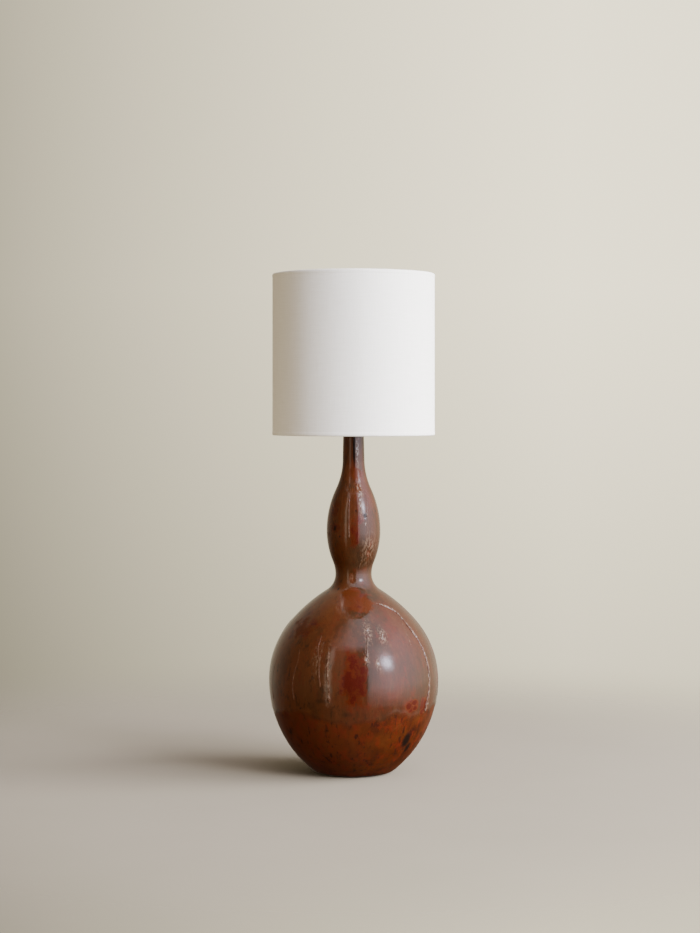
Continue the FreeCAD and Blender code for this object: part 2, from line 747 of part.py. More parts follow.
shell_bottom = socket_bottom + s.shell_base_height
shell_top = shell_bottom + s.shell_length
shell_outer = s.cap_radius - s.cap_gauge - s.shell_gap
shell_inner = shell_outer - s.shell_gauge
liner_outer = shell_inner - s.shell_gap
liner_inner = liner_outer - s.liner_gauge
liner_bottom = shell_bottom + s.liner_setback
liner_top = shell_top - s.liner_setback
core_radius = liner_inner - s.core_gap
core_top = liner_bottom + s.core_height
spindle_axis = socket_bottom + s.spindle_height
contact_shell_top = core_top + s.contact_shell_length


def drill_front(body, radius, height, depth, name="SpindleHole"):
    """Round hole from the axis out through the front."""
    sketch = new_sketch(body, "XZ_Plane", name)
    draw_circle(sketch, radius, ZERO, height)
    cut(body, sketch, depth, reverse=True, name="Front" + name)


def make_socket_cap():
    gauge, hub, outer = s.cap_gauge, s.cap_hub_radius, s.cap_radius
    hub_top = socket_bottom + s.cap_hub_height
    dome_top = socket_bottom + s.cap_dome_height
    inner = outer - gauge
    top = socket_bottom + s.cap_height
    body = turned_part("socket_cap", [
        (thread_hole, socket_bottom), (hub, socket_bottom),
        (hub, socket_bottom + s.cap_hub_rise, s.cap_dome_radius, 1), (outer, dome_top), (outer, top),
        (inner, top), (inner, dome_top, s.cap_dome_radius - gauge, -1), (hub, hub_top),
        (thread_hole, hub_top)])
    screw_height = socket_bottom + s.set_screw_height
    sketch = new_sketch(body, "XZ_Plane", "SetScrewHole")
    draw_circle(sketch, s.set_screw_radius + s.running_clearance, ZERO, screw_height)
    cut(body, sketch, outer, name="BackDrilled")
    start = s.pipe_radius
    head = outer - s.set_screw_head_thickness
    screw = turned_part("set_screw", [
        (ZERO, start), (s.set_screw_radius, start), (s.set_screw_radius, head),
        (s.set_screw_head_radius, head), (s.set_screw_head_radius, outer), (ZERO, outer)])
    slot = new_sketch(screw, "XZ_Plane", "Slot")
    half = s.set_screw_slot / 2
    floor = outer - s.set_screw_head_thickness / 2
    draw_outline(slot, [(-half, floor), (half, floor), (half, outer + half), (-half, outer + half)])
    cut(screw, slot, s.set_screw_head_radius * 3, both_ways=True, name="Slotted")
    place(screw, up=screw_height, axis=(1, 0, 0), angle=-90)


def make_socket_shell():
    bead = s.shell_bead
    body = turned_part("socket_shell", [
        (shell_inner, shell_bottom), (shell_outer, shell_bottom), (shell_outer, shell_top - bead * 2),
        (shell_outer + bead, shell_top - bead * 2, bead * 2 * ROLLED_EDGE, 1),
        (shell_outer + bead, shell_top), (shell_inner, shell_top)])
    drill_front(body, s.spindle_hole_radius, spindle_axis, s.cap_radius * 2)
    liner = tube("socket_liner", liner_inner, liner_outer, liner_bottom, liner_top)
    drill_front(liner, s.spindle_hole_radius, spindle_axis, s.cap_radius * 2)


def make_socket_core():
    """Moulded switch body with two flats for the terminal screws."""
    body = new_body("socket_core")
    round_section = new_sketch(body, "XZ_Plane", "Section")
    neck = core_radius - s.terminal_head_thickness
    draw_outline(round_section, [
        (ZERO, liner_bottom), (neck, liner_bottom), (core_radius, liner_bottom + s.terminal_head_thickness),
        (core_radius, core_top), (ZERO, core_top)])
    revolve(body, round_section)
    flats = new_sketch(body, "XZ_Plane", "Flats")
    flat_top = core_top - s.terminal_head_thickness * 2
    for near, far in ((s.core_flat, core_radius * 2), (-(core_radius * 2), -s.core_flat)):
        draw_outline(flats, [(near, liner_bottom - s.core_gap), (far, liner_bottom - s.core_gap),
                             (far, flat_top), (near, flat_top)])
    cut(body, flats, core_radius * 3, both_ways=True, name="Flattened")
    drill_front(body, s.spindle_radius + s.running_clearance, spindle_axis, core_radius * 2)
    screws = new_sketch(body, "YZ_Plane", "TerminalHoles")
    draw_circle(screws, s.terminal_radius, ZERO, liner_bottom + s.terminal_height)
    cut(body, screws, core_radius * 3, both_ways=True, name="TerminalsDrilled")


def make_terminal_screws():
    """Two binding screws, left and right, in one node."""
    start = s.core_flat - s.terminal_depth
    head_top = s.core_flat + s.terminal_head_thickness
    edge = s.terminal_head_thickness / 3
    screw = turned_part("terminal_screw_right", [
        (ZERO, start), (s.terminal_radius, start), (s.terminal_radius, s.core_flat),
        (s.terminal_head_radius, s.core_flat), (s.terminal_head_radius, head_top - edge),
        (s.terminal_head_radius - edge, head_top), (ZERO, head_top)])
    place(screw, up=liner_bottom + s.terminal_height, axis=(0, 1, 0), angle=90)
    parts.remove(screw)
    mirror = document.addObject("Part::Mirroring", "terminal_screw_left")
    mirror.Source = screw
    mirror.Normal = FreeCAD.Vector(1, 0, 0)
    pair = document.addObject("Part::Compound", "terminal_screws")
    pair.Links = [screw, mirror]
    pair.Label = "terminal_screws"
    parts.append(pair)


def make_contacts():
    """Threaded contact shell on the core and the spring leaf under the bulb."""
    outer, gauge = s.contact_shell_radius + s.contact_shell_gauge, s.contact_shell_gauge
    turned_part("screw_shell", [
        (s.contact_shell_window, core_top), (outer, core_top), (outer, contact_shell_top),
        (s.contact_shell_radius, contact_shell_top), (s.contact_shell_radius, core_top + gauge),
        (s.contact_shell_window, core_top + gauge)])
    leaf = new_body("centre_contact")
    side = new_sketch(leaf, "XZ_Plane", "Side")
    gauge, reach = s.leaf_gauge, s.leaf_reach
    foot, tip = reach / 2, core_top + s.leaf_rise
    draw_outline(side, [
        (-reach, core_top), (-foot, core_top), (foot, tip - gauge), (reach, tip - gauge),
        (reach, tip), (foot, tip), (-foot, core_top + gauge), (-reach, core_top + gauge)])
    extrude(leaf, side, s.leaf_width, both_ways=True)


def make_switch_spindle():
    inner = core_radius - s.spindle_depth
    outer = inner + s.spindle_length
    spindle = tube("switch_spindle", ZERO, s.spindle_radius, inner, outer)
    place(spindle, up=spindle_axis, axis=(1, 0, 0), angle=90)
    return outer


def make_switch_knob(spindle_end):
    start = s.cap_radius + s.knob_gap
    end = start + s.knob_length
    edge, radius = s.knob_round, s.knob_radius
    knob = turned_part("switch_knob", [
        (s.spindle_radius, start), (radius - edge / 2, start), (radius, start + edge / 2),
        (radius, end - edge, edge, 1), (radius - edge, end), (ZERO, end), (ZERO, spindle_end),
        (s.spindle_radius, spindle_end)])
    flute = new_sketch(knob, "XY_Plane", "Flute")
    draw_circle(flute, s.knob_flute_radius, radius + s.knob_flute_radius / 2, ZERO)
    flute.setExpression("AttachmentOffset.Base.z", (start + edge).text)
    groove = cut(knob, flute, s.knob_length, reverse=True, name="Fluted")
    pattern = knob.newObject("PartDesign::PolarPattern", "Flutes")
    pattern.Originals = [groove]
    axis = next(item for item in knob.Origin.OriginFeatures if item.Role == "Z_Axis")
    pattern.Axis = (axis, [""])
    pattern.Angle = FULL_TURN
    pattern.Occurrences = KNOB_FLUTES
    knob.Tip = pattern
    place(knob, up=spindle_axis, axis=(1, 0, 0), angle=90)


# ---------------------------------------------------------------- bulb

bulb_base = core_top + s.leaf_rise + s.bulb_tip_gap
insulator_bottom = bulb_base + s.bulb_tip_height
bulb_cap_bottom = insulator_bottom + s.bulb_insulator_height
bulb_cap_top = bulb_cap_bottom + s.bulb_cap_length


def make_bulb_base():
    gauge, cap = s.bulb_cap_gauge, s.bulb_cap_radius
    tip = s.bulb_tip_radius
    turned_part("bulb_contact", [
        (ZERO, bulb_base), (tip - s.bulb_tip_height, bulb_base, s.bulb_tip_height, 1),
        (tip, insulator_bottom), (ZERO, insulator_bottom)])
    turned_part("bulb_insulator", [
        (ZERO, insulator_bottom), (tip, insulator_bottom), (cap - gauge * 2, bulb_cap_bottom),
        (ZERO, bulb_cap_bottom)])
    turned_part("bulb_cap", [
        (ZERO, bulb_cap_bottom), (cap - gauge * 2, bulb_cap_bottom), (cap, bulb_cap_bottom + gauge * 2),
        (cap, bulb_cap_top), (cap - gauge, bulb_cap_top), (cap - gauge, bulb_cap_bottom + gauge * 2),
        (ZERO, bulb_cap_bottom + gauge * 2)])


def make_bulb_glass():
    """Glass envelope: a ball drawn into its neck by a hollow arc, inside and outside."""
    body = new_body("bulb_glass")
    sketch = new_sketch(body, "XZ_Plane", "Section")
    centre_height = bulb_cap_top + s.glass_centre_height
    neck_bottom = bulb_cap_top - s.glass_neck_length
    neck_top = bulb_cap_top + s.glass_neck_length
    drop = centre_height.value - neck_top.value
    ends = []
    for inset in (ZERO, s.glass_gauge):
        ball, neck = s.glass_radius - inset, s.glass_neck_radius - inset
        hollow = (neck.value ** 2 + drop ** 2 - ball.value ** 2) / (2 * (ball.value - neck.value))
        lean = math.asin(drop / (ball.value + hollow))
        line = sketch.addGeometry(Part.LineSegment(FreeCAD.Vector(neck.value, neck_bottom.value, 0),
                                                   FreeCAD.Vector(neck.value, neck_top.value, 0)), False)
        hollow_arc = add_arc(sketch, (neck.value + hollow, neck_top.value), hollow, math.pi - lean, math.pi)
        ball_arc = add_arc(sketch, (0, centre_height.value), ball.value, -lean, math.pi / 2)
        sketch.addConstraint(Sketcher.Constraint("Tangent", line, 2, hollow_arc, 2))
        sketch.addConstraint(Sketcher.Constraint("Tangent", hollow_arc, 1, ball_arc, 1))
        pin(sketch, line, 1, neck, neck_bottom)
        pin(sketch, line, 2, neck, neck_top)
        pin(sketch, ball_arc, 3, ZERO, centre_height)
        pin(sketch, ball_arc, 2, ZERO, None)
        hold_radius(sketch, ball_arc, ball)
        ends.append((line, ball_arc, neck, centre_height + ball))
    (outer_line, outer_ball, outer_neck, outer_top), (inner_line, inner_ball, inner_neck, inner_top) = ends
    mouth = sketch.addGeometry(Part.LineSegment(
        FreeCAD.Vector(outer_neck.value, neck_bottom.value, 0),
        FreeCAD.Vector(inner_neck.value, neck_bottom.value, 0)), False)
    crown = sketch.addGeometry(Part.LineSegment(
        FreeCAD.Vector(0, inner_top.value, 0), FreeCAD.Vector(0, outer_top.value, 0)), False)
    for joint in ((mouth, 1, outer_line, 1), (mouth, 2, inner_line, 1),
                  (crown, 1, inner_ball, 2), (crown, 2, outer_ball, 2)):
        sketch.addConstraint(Sketcher.Constraint("Coincident", *joint))
    revolve(body, sketch)


# ---------------------------------------------------------------- shade

liner_face = s.shade_radius - s.cover_gauge
liner_back = liner_face - s.shade_liner_gauge
ring_radius = liner_back - s.ring_gap - s.ring_wire_radius
ring_inset = s.cover_gauge + s.ring_gap + s.ring_wire_radius
washer_seat = stud_seat + s.running_clearance
spider_top = washer_seat + s.spider_washer_thickness


def make_shade_skins():
    """Stiff liner and the fabric cover, whose turned edges wrap both rings."""
    bottom, top, gauge = shade_base, shade_top, s.cover_gauge
    tube("shade_liner", liner_back, liner_face, bottom + gauge, top - gauge)
    lip_outer = ring_radius - s.ring_wire_radius - s.ring_gap
    lip_inner = lip_outer - gauge
    low, high = bottom + s.hem_depth, top - s.hem_depth
    turned_part("shade_cover", [
        (lip_inner + gauge, bottom), (s.shade_radius, bottom), (s.shade_radius, top),
        (lip_inner + gauge, top, gauge, 1), (lip_inner, top - gauge), (lip_inner, high),
        (lip_outer, high), (lip_outer, top - gauge), (liner_face, top - gauge),
        (liner_face, bottom + gauge), (lip_outer, bottom + gauge), (lip_outer, low),
        (lip_inner, low), (lip_inner, bottom + gauge, gauge, 1)])


def make_ring(label, height):
    ring = document.addObject("Part::Torus", label)
    ring.setExpression("Radius1", ring_radius.text)
    ring.setExpression("Radius2", s.ring_wire_radius.text)
    place(ring, up=height)
    ring.Label = label
    parts.append(ring)


def make_spider():
    """Washer on the stud, and three wire arms that climb from it to the top ring."""
    tube("spider_washer", s.spider_hole_radius, s.spider_washer_radius, washer_seat, spider_top)
    arm = new_body("spider_arm")
    path = new_sketch(arm, "XZ_Plane", "Path")
    level = spider_top + s.arm_wire_radius
    arm_top = shade_top - ring_inset - s.ring_wire_radius + s.weld_depth
    draw_outline(path, [
        (s.arm_start_radius, level), (ring_radius - s.arm_bend, level, s.arm_bend, 1),
        (ring_radius, level + s.arm_bend), (ring_radius, arm_top)], closed=False)
    section = new_sketch(arm, "YZ_Plane", "Wire")
    draw_circle(section, s.arm_wire_radius, ZERO, level)
    section.setExpression("AttachmentOffset.Base.z", s.arm_start_radius.text)
    sweep = arm.newObject("PartDesign::AdditivePipe", "Bent")
    sweep.Profile = section
    sweep.Spine = (path, [])
    parts.remove(arm)
    copies = []
    for number in range(SPIDER_ARMS):
        copy = document.addObject("App::Link", f"arm_{number + 1}")
        copy.LinkedObject = arm
        angle = FULL_TURN / SPIDER_ARMS * number + FULL_TURN / 4
        copy.Placement.Rotation = FreeCAD.Rotation(FreeCAD.Vector(0, 0, 1), angle)
        copies.append(copy)
    group = document.addObject("Part::Compound", "spider_arms")
    group.Links = copies
    group.Label = "spider_arms"
    parts.append(group)


def make_finial():
    """Turned knob with a blind thread, which clamps the washer on the stud."""
    bottom = spider_top + s.running_clearance
    base, neck, ball = s.finial_base_radius, s.finial_neck_radius, s.finial_ball_radius
    base_top = bottom + s.finial_base_thickness
    ball_start = bottom + s.finial_neck_height
    bore, bore_top = s.stud_radius + s.pipe_clearance, bottom + s.finial_bore_depth
    ball_top = ball_start + ball + third_side(ball, neck)
    turned_part("finial", [
        (bore, bottom), (base, bottom), (base, bottom + s.finial_base_thickness / 2, base - neck, -1),
        (neck, base_top), (neck, ball_start, ball, 1), (ZERO, ball_top), (ZERO, bore_top), (bore, bore_top)])


# ---------------------------------------------------------------- build, check and write

make_gourd_body()
make_base_fittings()
make_pipe_and_clamps()
make_harp_saddle()
make_harp_loop()
make_ferrules()
make_shade_stud()
make_socket_cap()
make_socket_shell()
make_socket_core()
make_terminal_screws()
make_contacts()
make_switch_knob(make_switch_spindle())
make_bulb_base()
make_bulb_glass()
make_shade_skins()
make_ring("top_ring", shade_top - ring_inset)
make_ring("bottom_ring", shade_base + ring_inset)
make_spider()
make_finial()
document.recompute()

faults = []
for item in document.Objects:
    owner = item.getParentGeoFeatureGroup()
    name = f"{owner.Label}'s {item.Label}" if owner else item.Label
    if "Invalid" in item.State or "Error" in item.State:
        faults.append(f"{name} failed: {item.State}")
    elif item.TypeId == "Sketcher::SketchObject" and item.solve() != 0:
        faults.append(f"{name} isn't solved")
for part in parts:
    if part.Shape.isNull() or not part.Shape.isValid() or not part.Shape.Solids:
        faults.append(f"{part.Label} has no valid solid")
if faults:
    raise RuntimeError("\n".join(faults))

os.makedirs("parts", exist_ok=True)
for part in parts:
    part.Shape.exportStep(f"parts/{part.Label}.step")
    box = part.Shape.BoundBox
    sides = "  ".join(f"{letter} {low:6.1f} to {high:6.1f}" for letter, low, high in (
        ("x", box.XMin, box.XMax), ("y", box.YMin, box.YMax), ("z", box.ZMin, box.ZMax)))
    print(f"{part.Label:16s} {len(part.Shape.Solids)} solid {part.Shape.Volume / 1000:9.3f} cm3  {sides}")
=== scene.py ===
import json
import math

import bmesh
import bpy
import numpy as np
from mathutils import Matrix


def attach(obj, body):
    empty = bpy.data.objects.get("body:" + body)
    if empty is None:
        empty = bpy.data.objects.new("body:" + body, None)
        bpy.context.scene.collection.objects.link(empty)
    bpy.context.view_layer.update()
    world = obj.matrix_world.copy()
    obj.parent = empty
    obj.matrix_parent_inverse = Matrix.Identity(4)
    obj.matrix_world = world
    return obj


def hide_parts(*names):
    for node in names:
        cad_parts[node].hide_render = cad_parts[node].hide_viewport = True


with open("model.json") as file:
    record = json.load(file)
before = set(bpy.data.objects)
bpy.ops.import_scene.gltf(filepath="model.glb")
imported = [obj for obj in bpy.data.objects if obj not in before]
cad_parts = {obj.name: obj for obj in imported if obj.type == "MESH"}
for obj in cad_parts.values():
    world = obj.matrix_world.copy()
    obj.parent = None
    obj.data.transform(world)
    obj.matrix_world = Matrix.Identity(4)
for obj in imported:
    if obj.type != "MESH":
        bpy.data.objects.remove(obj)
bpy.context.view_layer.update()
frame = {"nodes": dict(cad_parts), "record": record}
nodes = frame["nodes"]
print("frame loaded:", len(nodes), "pieces")

mm = 0.001  # the frame is in metres; the sizes below are in millimetres


# helpers: colours, nodes, meshes

def toLinear(hexColour):
    # sRGB hex to the linear colour that the shaders use
    parts = [int(hexColour[i:i + 2], 16) / 255 for i in (1, 3, 5)]
    return [c / 12.92 if c <= 0.04045 else ((c + 0.055) / 1.055) ** 2.4 for c in parts] + [1.0]


def feed(tree, socket, value):
    # an output is linked to the socket, anything else becomes its value
    if isinstance(value, bpy.types.NodeSocket):
        tree.links.new(value, socket)
    else:
        socket.default_value = value


def addNode(tree, kind, settings=None, inputs=None, stops=None):
    # one node: its settings, its inputs as values or as outputs to link, and a ramp's stops
    node = tree.nodes.new("ShaderNode" + kind)
    for name, value in (settings or {}).items():
        setattr(node, name, value)
    for name, value in (inputs or {}).items():
        feed(tree, node.inputs[name], value)
    for number, (place, colour) in enumerate(stops or []):
        elements = node.color_ramp.elements
        element = elements[number] if number < 2 else elements.new(place)
        element.position = place
        element.color = toLinear(colour)
    return node


def newMaterial(name):
    material = bpy.data.materials.new(name)
    material.use_nodes = True
    tree = material.node_tree
    tree.nodes.clear()
    shader = addNode(tree, "BsdfPrincipled")
    addNode(tree, "OutputMaterial", inputs={"Surface": shader.outputs[0]})
    return material, tree, shader


def setShader(tree, shader, **values):
    # sockets by their names with the spaces left out
    for socket in shader.inputs:
        key = socket.name.replace(" ", "")
        if key in values:
            feed(tree, socket, values[key])


def objectPlace(tree):
    return addNode(tree, "TexCoord").outputs["Object"]


def noise(tree, size, detail=4, rough=0.55, tall=1.0, seed=0.0):
    # noise whose grain is size millimetres across and tall times that in height
    mapped = addNode(tree, "Mapping", inputs={
        "Vector": objectPlace(tree), "Location": (seed, seed, seed), "Scale": (1, 1, 1 / tall)}).outputs[0]
    return addNode(tree, "TexNoise", inputs={
        "Vector": mapped, "Scale": 1 / (size * mm), "Detail": detail, "Roughness": rough}).outputs[0]


def mixColour(tree, factor, first, second):
    return addNode(tree, "Mix", {"data_type": "RGBA"}, {0: factor, 6: first, 7: second}).outputs[2]


def reach(tree, value, low, high, outLow=0.0, outHigh=1.0):
    # value from low to high becomes outLow to outHigh, held at the ends
    return addNode(tree, "MapRange", inputs={
        0: value, 1: low, 2: high, 3: outLow, 4: outHigh}).outputs[0]


def tinted(tree, colour, field, low, high, share, tint):
    # the tint comes in as the field goes from low to high, up to its share
    return mixColour(tree, reach(tree, field, low, high, 0, share), colour, toLinear(tint))


def between(tree, field, low, high, first, second):
    # the first colour where the field is low, the second where it is high
    return mixColour(tree, reach(tree, field, low, high), toLinear(first), toLinear(second))


def combine(tree, kind, first, second):
    return addNode(tree, "Math", {"operation": kind}, {0: first, 1: second}).outputs[0]


def multiply(tree, first, second):
    return combine(tree, "MULTIPLY", first, second)


def vectorMath(tree, kind, first, second=(0, 0, 0)):
    return addNode(tree, "VectorMath", {"operation": kind}, {0: first, 1: second}).outputs


def bumped(tree, height, depth, strength=1.0, normal=None):
    # depth is the real height of the relief in millimetres
    inputs = {"Height": height, "Distance": depth * mm, "Strength": strength}
    if normal is not None:
        inputs["Normal"] = normal
    return addNode(tree, "Bump", inputs=inputs).outputs[0]


def anglesRound(columns):
    # the first column is at the front, and the angle goes to the right
    return np.arange(columns) / columns * 2 * np.pi


def turnedAway(degrees, turn):
    # how far degrees is from turn, from -180 to 180
    return (degrees - turn + 180) % 360 - 180


def aroundAxis(across, angle, up):
    # points at a distance from the Z axis, at an angle from the front
    x = across * np.sin(angle)
    y = -across * np.cos(angle)
    return np.stack([x, y, np.broadcast_to(up, x.shape)], -1)


def softStep(distance, width):
    # 1 / (1 + exp(-distance / width)): from 0 to 1 about the place where the distance is 0
    return 1 / (1 + np.exp(-np.clip(distance / width, -30, 30)))


def waves(angle, rows):
    # sum of size * sin(count * angle + shift)
    return sum(size * np.sin(count * angle + shift) for count, size, shift in rows)


def lengthAlong(radius, height):
    return np.concatenate([[0], np.cumsum(np.hypot(np.diff(radius), np.diff(height)))])


def placed(name, data):
    piece = bpy.data.objects.new(name, data)
    bpy.context.scene.collection.objects.link(piece)
    return piece


def gridMesh(name, points, closedAlong=False, values=None, uv=None):
    # mesh of quads over a grid of points; columns go once round and close, rows close on request
    rows, columns = points.shape[:2]
    i, j = np.meshgrid(np.arange(rows if closedAlong else rows - 1), np.arange(columns), indexing="ij")
    below, above, after = i * columns, (i + 1) % rows * columns, (j + 1) % columns
    corners = np.stack([below + j, below + after, above + after, above + j], -1).reshape(-1, 4)
    mesh = bpy.data.meshes.new(name)
    mesh.vertices.add(rows * columns)
    mesh.vertices.foreach_set("co", points.reshape(-1).astype(np.float32))
    mesh.loops.add(corners.size)
    mesh.loops.foreach_set("vertex_index", corners.reshape(-1).astype(np.int32))
    mesh.polygons.add(len(corners))
    mesh.polygons.foreach_set("loop_start", np.arange(0, corners.size, 4, dtype=np.int32))
    mesh.polygons.foreach_set("use_smooth", np.ones(len(corners), bool))
    for key, value in (values or {}).items():
        layer = mesh.attributes.new(key, "FLOAT", "POINT")
        layer.data.foreach_set("value", value.reshape(-1).astype(np.float32))
    if uv is not None:
        # the last column's far corners go past the seam, so the pattern doesn't run backwards there
        layer = mesh.uv_layers.new(name="UVMap")
        turn = uv["round"]
        across = np.stack([j, j + 1, j + 1, j], -1) / columns * turn
        along = uv["along"]
        up = np.stack([along[i], along[i], along[(i + 1) % rows], along[(i + 1) % rows]], -1)
        layer.data.foreach_set("uv", np.stack([across, up], -1).reshape(-1).astype(np.float32))
    mesh.update(calc_edges=True)
    return placed(name, mesh)


def turnedGrid(radius, height, columns):
    # a profile carried once round the Z axis
    return aroundAxis(radius[:, None], anglesRound(columns), height[:, None]) * mm


def weld(shape, mesh):
    # rows that have shrunk to a point become one vertex
    bmesh.ops.remove_doubles(shape, verts=shape.verts, dist=1e-6)
    bmesh.ops.recalc_face_normals(shape, faces=shape.faces)
    shape.to_mesh(mesh)
    shape.free()


def closePoles(piece):
    shape = bmesh.new()
    shape.from_mesh(piece.data)
    weld(shape, piece.data)
    return piece


def finish(piece, material, body):
    piece.data.materials.append(material)
    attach(piece, body)


# stage: a plain pale floor, soft panels on both sides, the room's own light

stageLook = {
    "floorColour": "#938c7f", "floorGrain": (180, 5), "floorCloud": (0.3, 0.7, 0.18, "#867f72"),
    "floorRadius": 1.5, "floorColumns": 96, "fadeFrom": 0.28,
    # painted light and shade on the wall that the camera sees: lighter up and to the right, darker down
    # and to the left; by the view's x and z: from, to, tone at each
    "wallColour": (2.3, 2.06, 1.46),
    "wallAcross": [(-0.18, 0.11, 0.3, 1.0), (-0.6, -0.18, 0.5, 0.0)],
    "wallUpward": [(-0.17, 0.06, 0.52, 1.0), (-0.6, -0.2, 0.3, 0.0)],
    # the room as the glaze mirrors it: degrees to the right of the camera, and how bright
    "roomTurn": [(-180, 0.75), (-140, 0.5), (-100, 0.14), (-44, 0.14), (-40, 0.4), (-36, 2.3), (-32, 2.1),
        (-28, 0.3), (-15, 0.3), (-12, 0.06), (19, 0.06), (21, 2.4), (50, 3.4), (90, 2.6), (130, 1.1),
        (180, 0.75)],
    # above and below the furniture and the window's opening: the plain wall and ceiling
    "roomPlain": [(-180, 0.75), (-140, 0.5), (-100, 0.14), (-50, 0.16), (-10, 1.9), (40, 2.4), (90, 2.2),
        (130, 1.1), (180, 0.75)],
    # the opening's lower and upper edge: degrees, softness
    "opening": [(-24.0, 0.03), (44.0, 0.05)],
    # darker low down, by z as for the wall; and dark straight above the lamp: degrees, softness, tone
    "roomBelow": (-0.42, -0.08, 0.1, 1.0), "lampShadow": (6.0, 0.003, 0.1),
    # warm light all round, cool light one way: degrees to the right and up; from, to, two colours
    "coolWay": (50.0, 35.0), "roomTint": (0.2, 0.85, "#e8d9bd", "#efe9f6"),
    "windowWay": (50.0, 23.0), "windowSpread": 6.5, "windowGlow": 24.0, "windowColour": "#e9ecff",
    # soft panels: power, degrees to the right, degrees up, distance, width, height, colour
    "panels": [(170.0, 50.0, 18.0, 3.0, 1.6, 1.8, "#fffdf9"), (255.0, 84.0, 18.0, 3.0, 1.6, 2.2, "#fffdfb"),
        (32.0, -68.0, 0.0, 3.0, 2.4, 2.4, "#f6d9a2")],
    "panelCentre": (0.0, 0.0, 0.36),
    # camera: level, at the height of the shade's lower part; the frame is shifted down, not tilted
    "cameraPlace": (-0.0055, -3.048, 0.569), "cameraLens": 75.24, "cameraSensor": 36.0, "cameraShift": -0.064,
}


def aimed(turn, rise):
    # unit vector towards a place in the room
    a, e = math.radians(turn), math.radians(rise)
    return np.array([math.sin(a) * math.cos(e), -math.cos(a) * math.cos(e), math.sin(e)])


def makeFloor(look):
    material, tree, shader = newMaterial("limewashed plaster floor")
    # trowelled plaster: matt, with faint cloudy tone; it melts into the wall's tone further out
    tone = tinted(tree, toLinear(look["floorColour"]), noise(tree, *look["floorGrain"]), *look["floorCloud"])
    away = vectorMath(tree, "LENGTH", objectPlace(tree))[1]
    fade = addNode(tree, "MapRange", {"interpolation_type": "SMOOTHERSTEP"}, {
        0: away, 1: look["fadeFrom"], 2: look["floorRadius"], 3: 1.0, 4: 0.0}).outputs[0]
    setShader(tree, shader, BaseColor=tone, Roughness=0.9, SpecularIORLevel=0.2, Alpha=fade)
    radius = np.array([0.0, look["floorRadius"] / mm])
    floor = closePoles(gridMesh("floor", turnedGrid(radius, np.zeros(2), look["floorColumns"])))
    if floor.data.polygons[0].normal.z < 0:
        floor.data.flip_normals()
    floor.data.materials.append(material)
    floor.visible_glossy = False


def makePanels(look):
    for number, (power, turn, rise, distance, width, height, colour) in enumerate(look["panels"]):
        light = bpy.data.lights.new(f"soft_panel_{number}", "AREA")
        light.shape, light.size, light.size_y = "RECTANGLE", width, height
        light.energy, light.color = power, toLinear(colour)[:3]
        panel = placed(light.name, light)
        panel.location = np.array(look["panelCentre"]) + aimed(turn, rise) * distance
        panel.rotation_euler = (math.pi / 2 - math.radians(rise), 0, math.radians(turn))
        panel.visible_camera = False
        panel.visible_glossy = False


def makeRoom(look):
    # the room's own light, by direction; what the camera sees directly is only the pale wall
    world = bpy.data.worlds.new("room")
    bpy.context.scene.world = world
    world.use_nodes = True
    tree = world.node_tree
    tree.nodes.clear()
    way = addNode(tree, "TexCoord").outputs["Generated"]
    axes = addNode(tree, "SeparateXYZ", inputs={0: way}).outputs
    # painted light and shade on the wall: lighter up and to the right, darker down and to the left
    across = combine(tree, "ADD", *(reach(tree, axes[0], *step) for step in look["wallAcross"]))
    upward = combine(tree, "ADD", *(reach(tree, axes[2], *step) for step in look["wallUpward"]))
    wallLightAndShade = multiply(tree, across, upward)
    seen = addNode(tree, "Background", inputs={
        "Color": (*look["wallColour"], 1.0), "Strength": wallLightAndShade}).outputs[0]
    # angle to the right of the camera, as the angle of x over -y, so that edges stand upright
    turn = combine(tree, "ARCTAN2", axes[0], multiply(tree, axes[1], -1.0))

    def roundTheRoom(steps):
        # straight lines between the brightnesses at the angles
        total = steps[0][1]
        for (low, before), (high, after) in zip(steps, steps[1:]):
            total = combine(tree, "ADD", total, reach(
                tree, turn, math.radians(low), math.radians(high), 0, after - before))
        return total

    (low, softLow), (high, softHigh) = ((math.sin(math.radians(a)), soft) for a, soft in look["opening"])
    opening = multiply(tree, reach(tree, axes[2], low - softLow, low + softLow),
                       reach(tree, axes[2], high - softHigh, high + softHigh, 1.0, 0.0))
    level = addNode(tree, "Mix", inputs={
        0: opening, 2: roundTheRoom(look["roomPlain"]), 3: roundTheRoom(look["roomTurn"])}).outputs[0]
    level = multiply(tree, level, reach(tree, axes[2], *look["roomBelow"]))
    degrees, soft, tone = look["lampShadow"]
    edge = math.cos(math.radians(degrees))
    level = multiply(tree, level, reach(tree, axes[2], edge - soft, edge, 1.0, tone))
    facing = vectorMath(tree, "DOT_PRODUCT", way, tuple(aimed(*look["coolWay"])))["Value"]
    tint = between(tree, facing, *look["roomTint"])
    room = addNode(tree, "Background", inputs={"Color": tint, "Strength": level}).outputs[0]
    # window: a soft round glow, exp(-(angle/spread)^2) written with the chord's square
    apart = vectorMath(tree, "DISTANCE", way, tuple(aimed(*look["windowWay"])))["Value"]
    share = combine(tree, "DIVIDE", apart, math.radians(look["windowSpread"]))
    glow = combine(tree, "POWER", math.e, multiply(tree, multiply(tree, share, share), -1.0))
    window = addNode(tree, "Background", inputs={
        "Color": toLinear(look["windowColour"]),
        "Strength": multiply(tree, glow, look["windowGlow"])}).outputs[0]
    lit = addNode(tree, "AddShader", inputs={0: room, 1: window}).outputs[0]
    direct = addNode(tree, "LightPath").outputs["Is Camera Ray"]
    shown = addNode(tree, "MixShader", inputs={0: direct, 1: lit, 2: seen}).outputs[0]
    addNode(tree, "OutputWorld", inputs={"Surface": shown})


def makeCamera(look):
    camera = bpy.data.cameras.new("camera")
    camera.sensor_width = look["cameraSensor"]
    camera.lens = look["cameraLens"]
    camera.shift_y = look["cameraShift"]
    seat = placed("camera", camera)
    seat.location = look["cameraPlace"]
    seat.rotation_euler = (math.pi / 2, 0, 0)
    bpy.context.scene.camera = seat


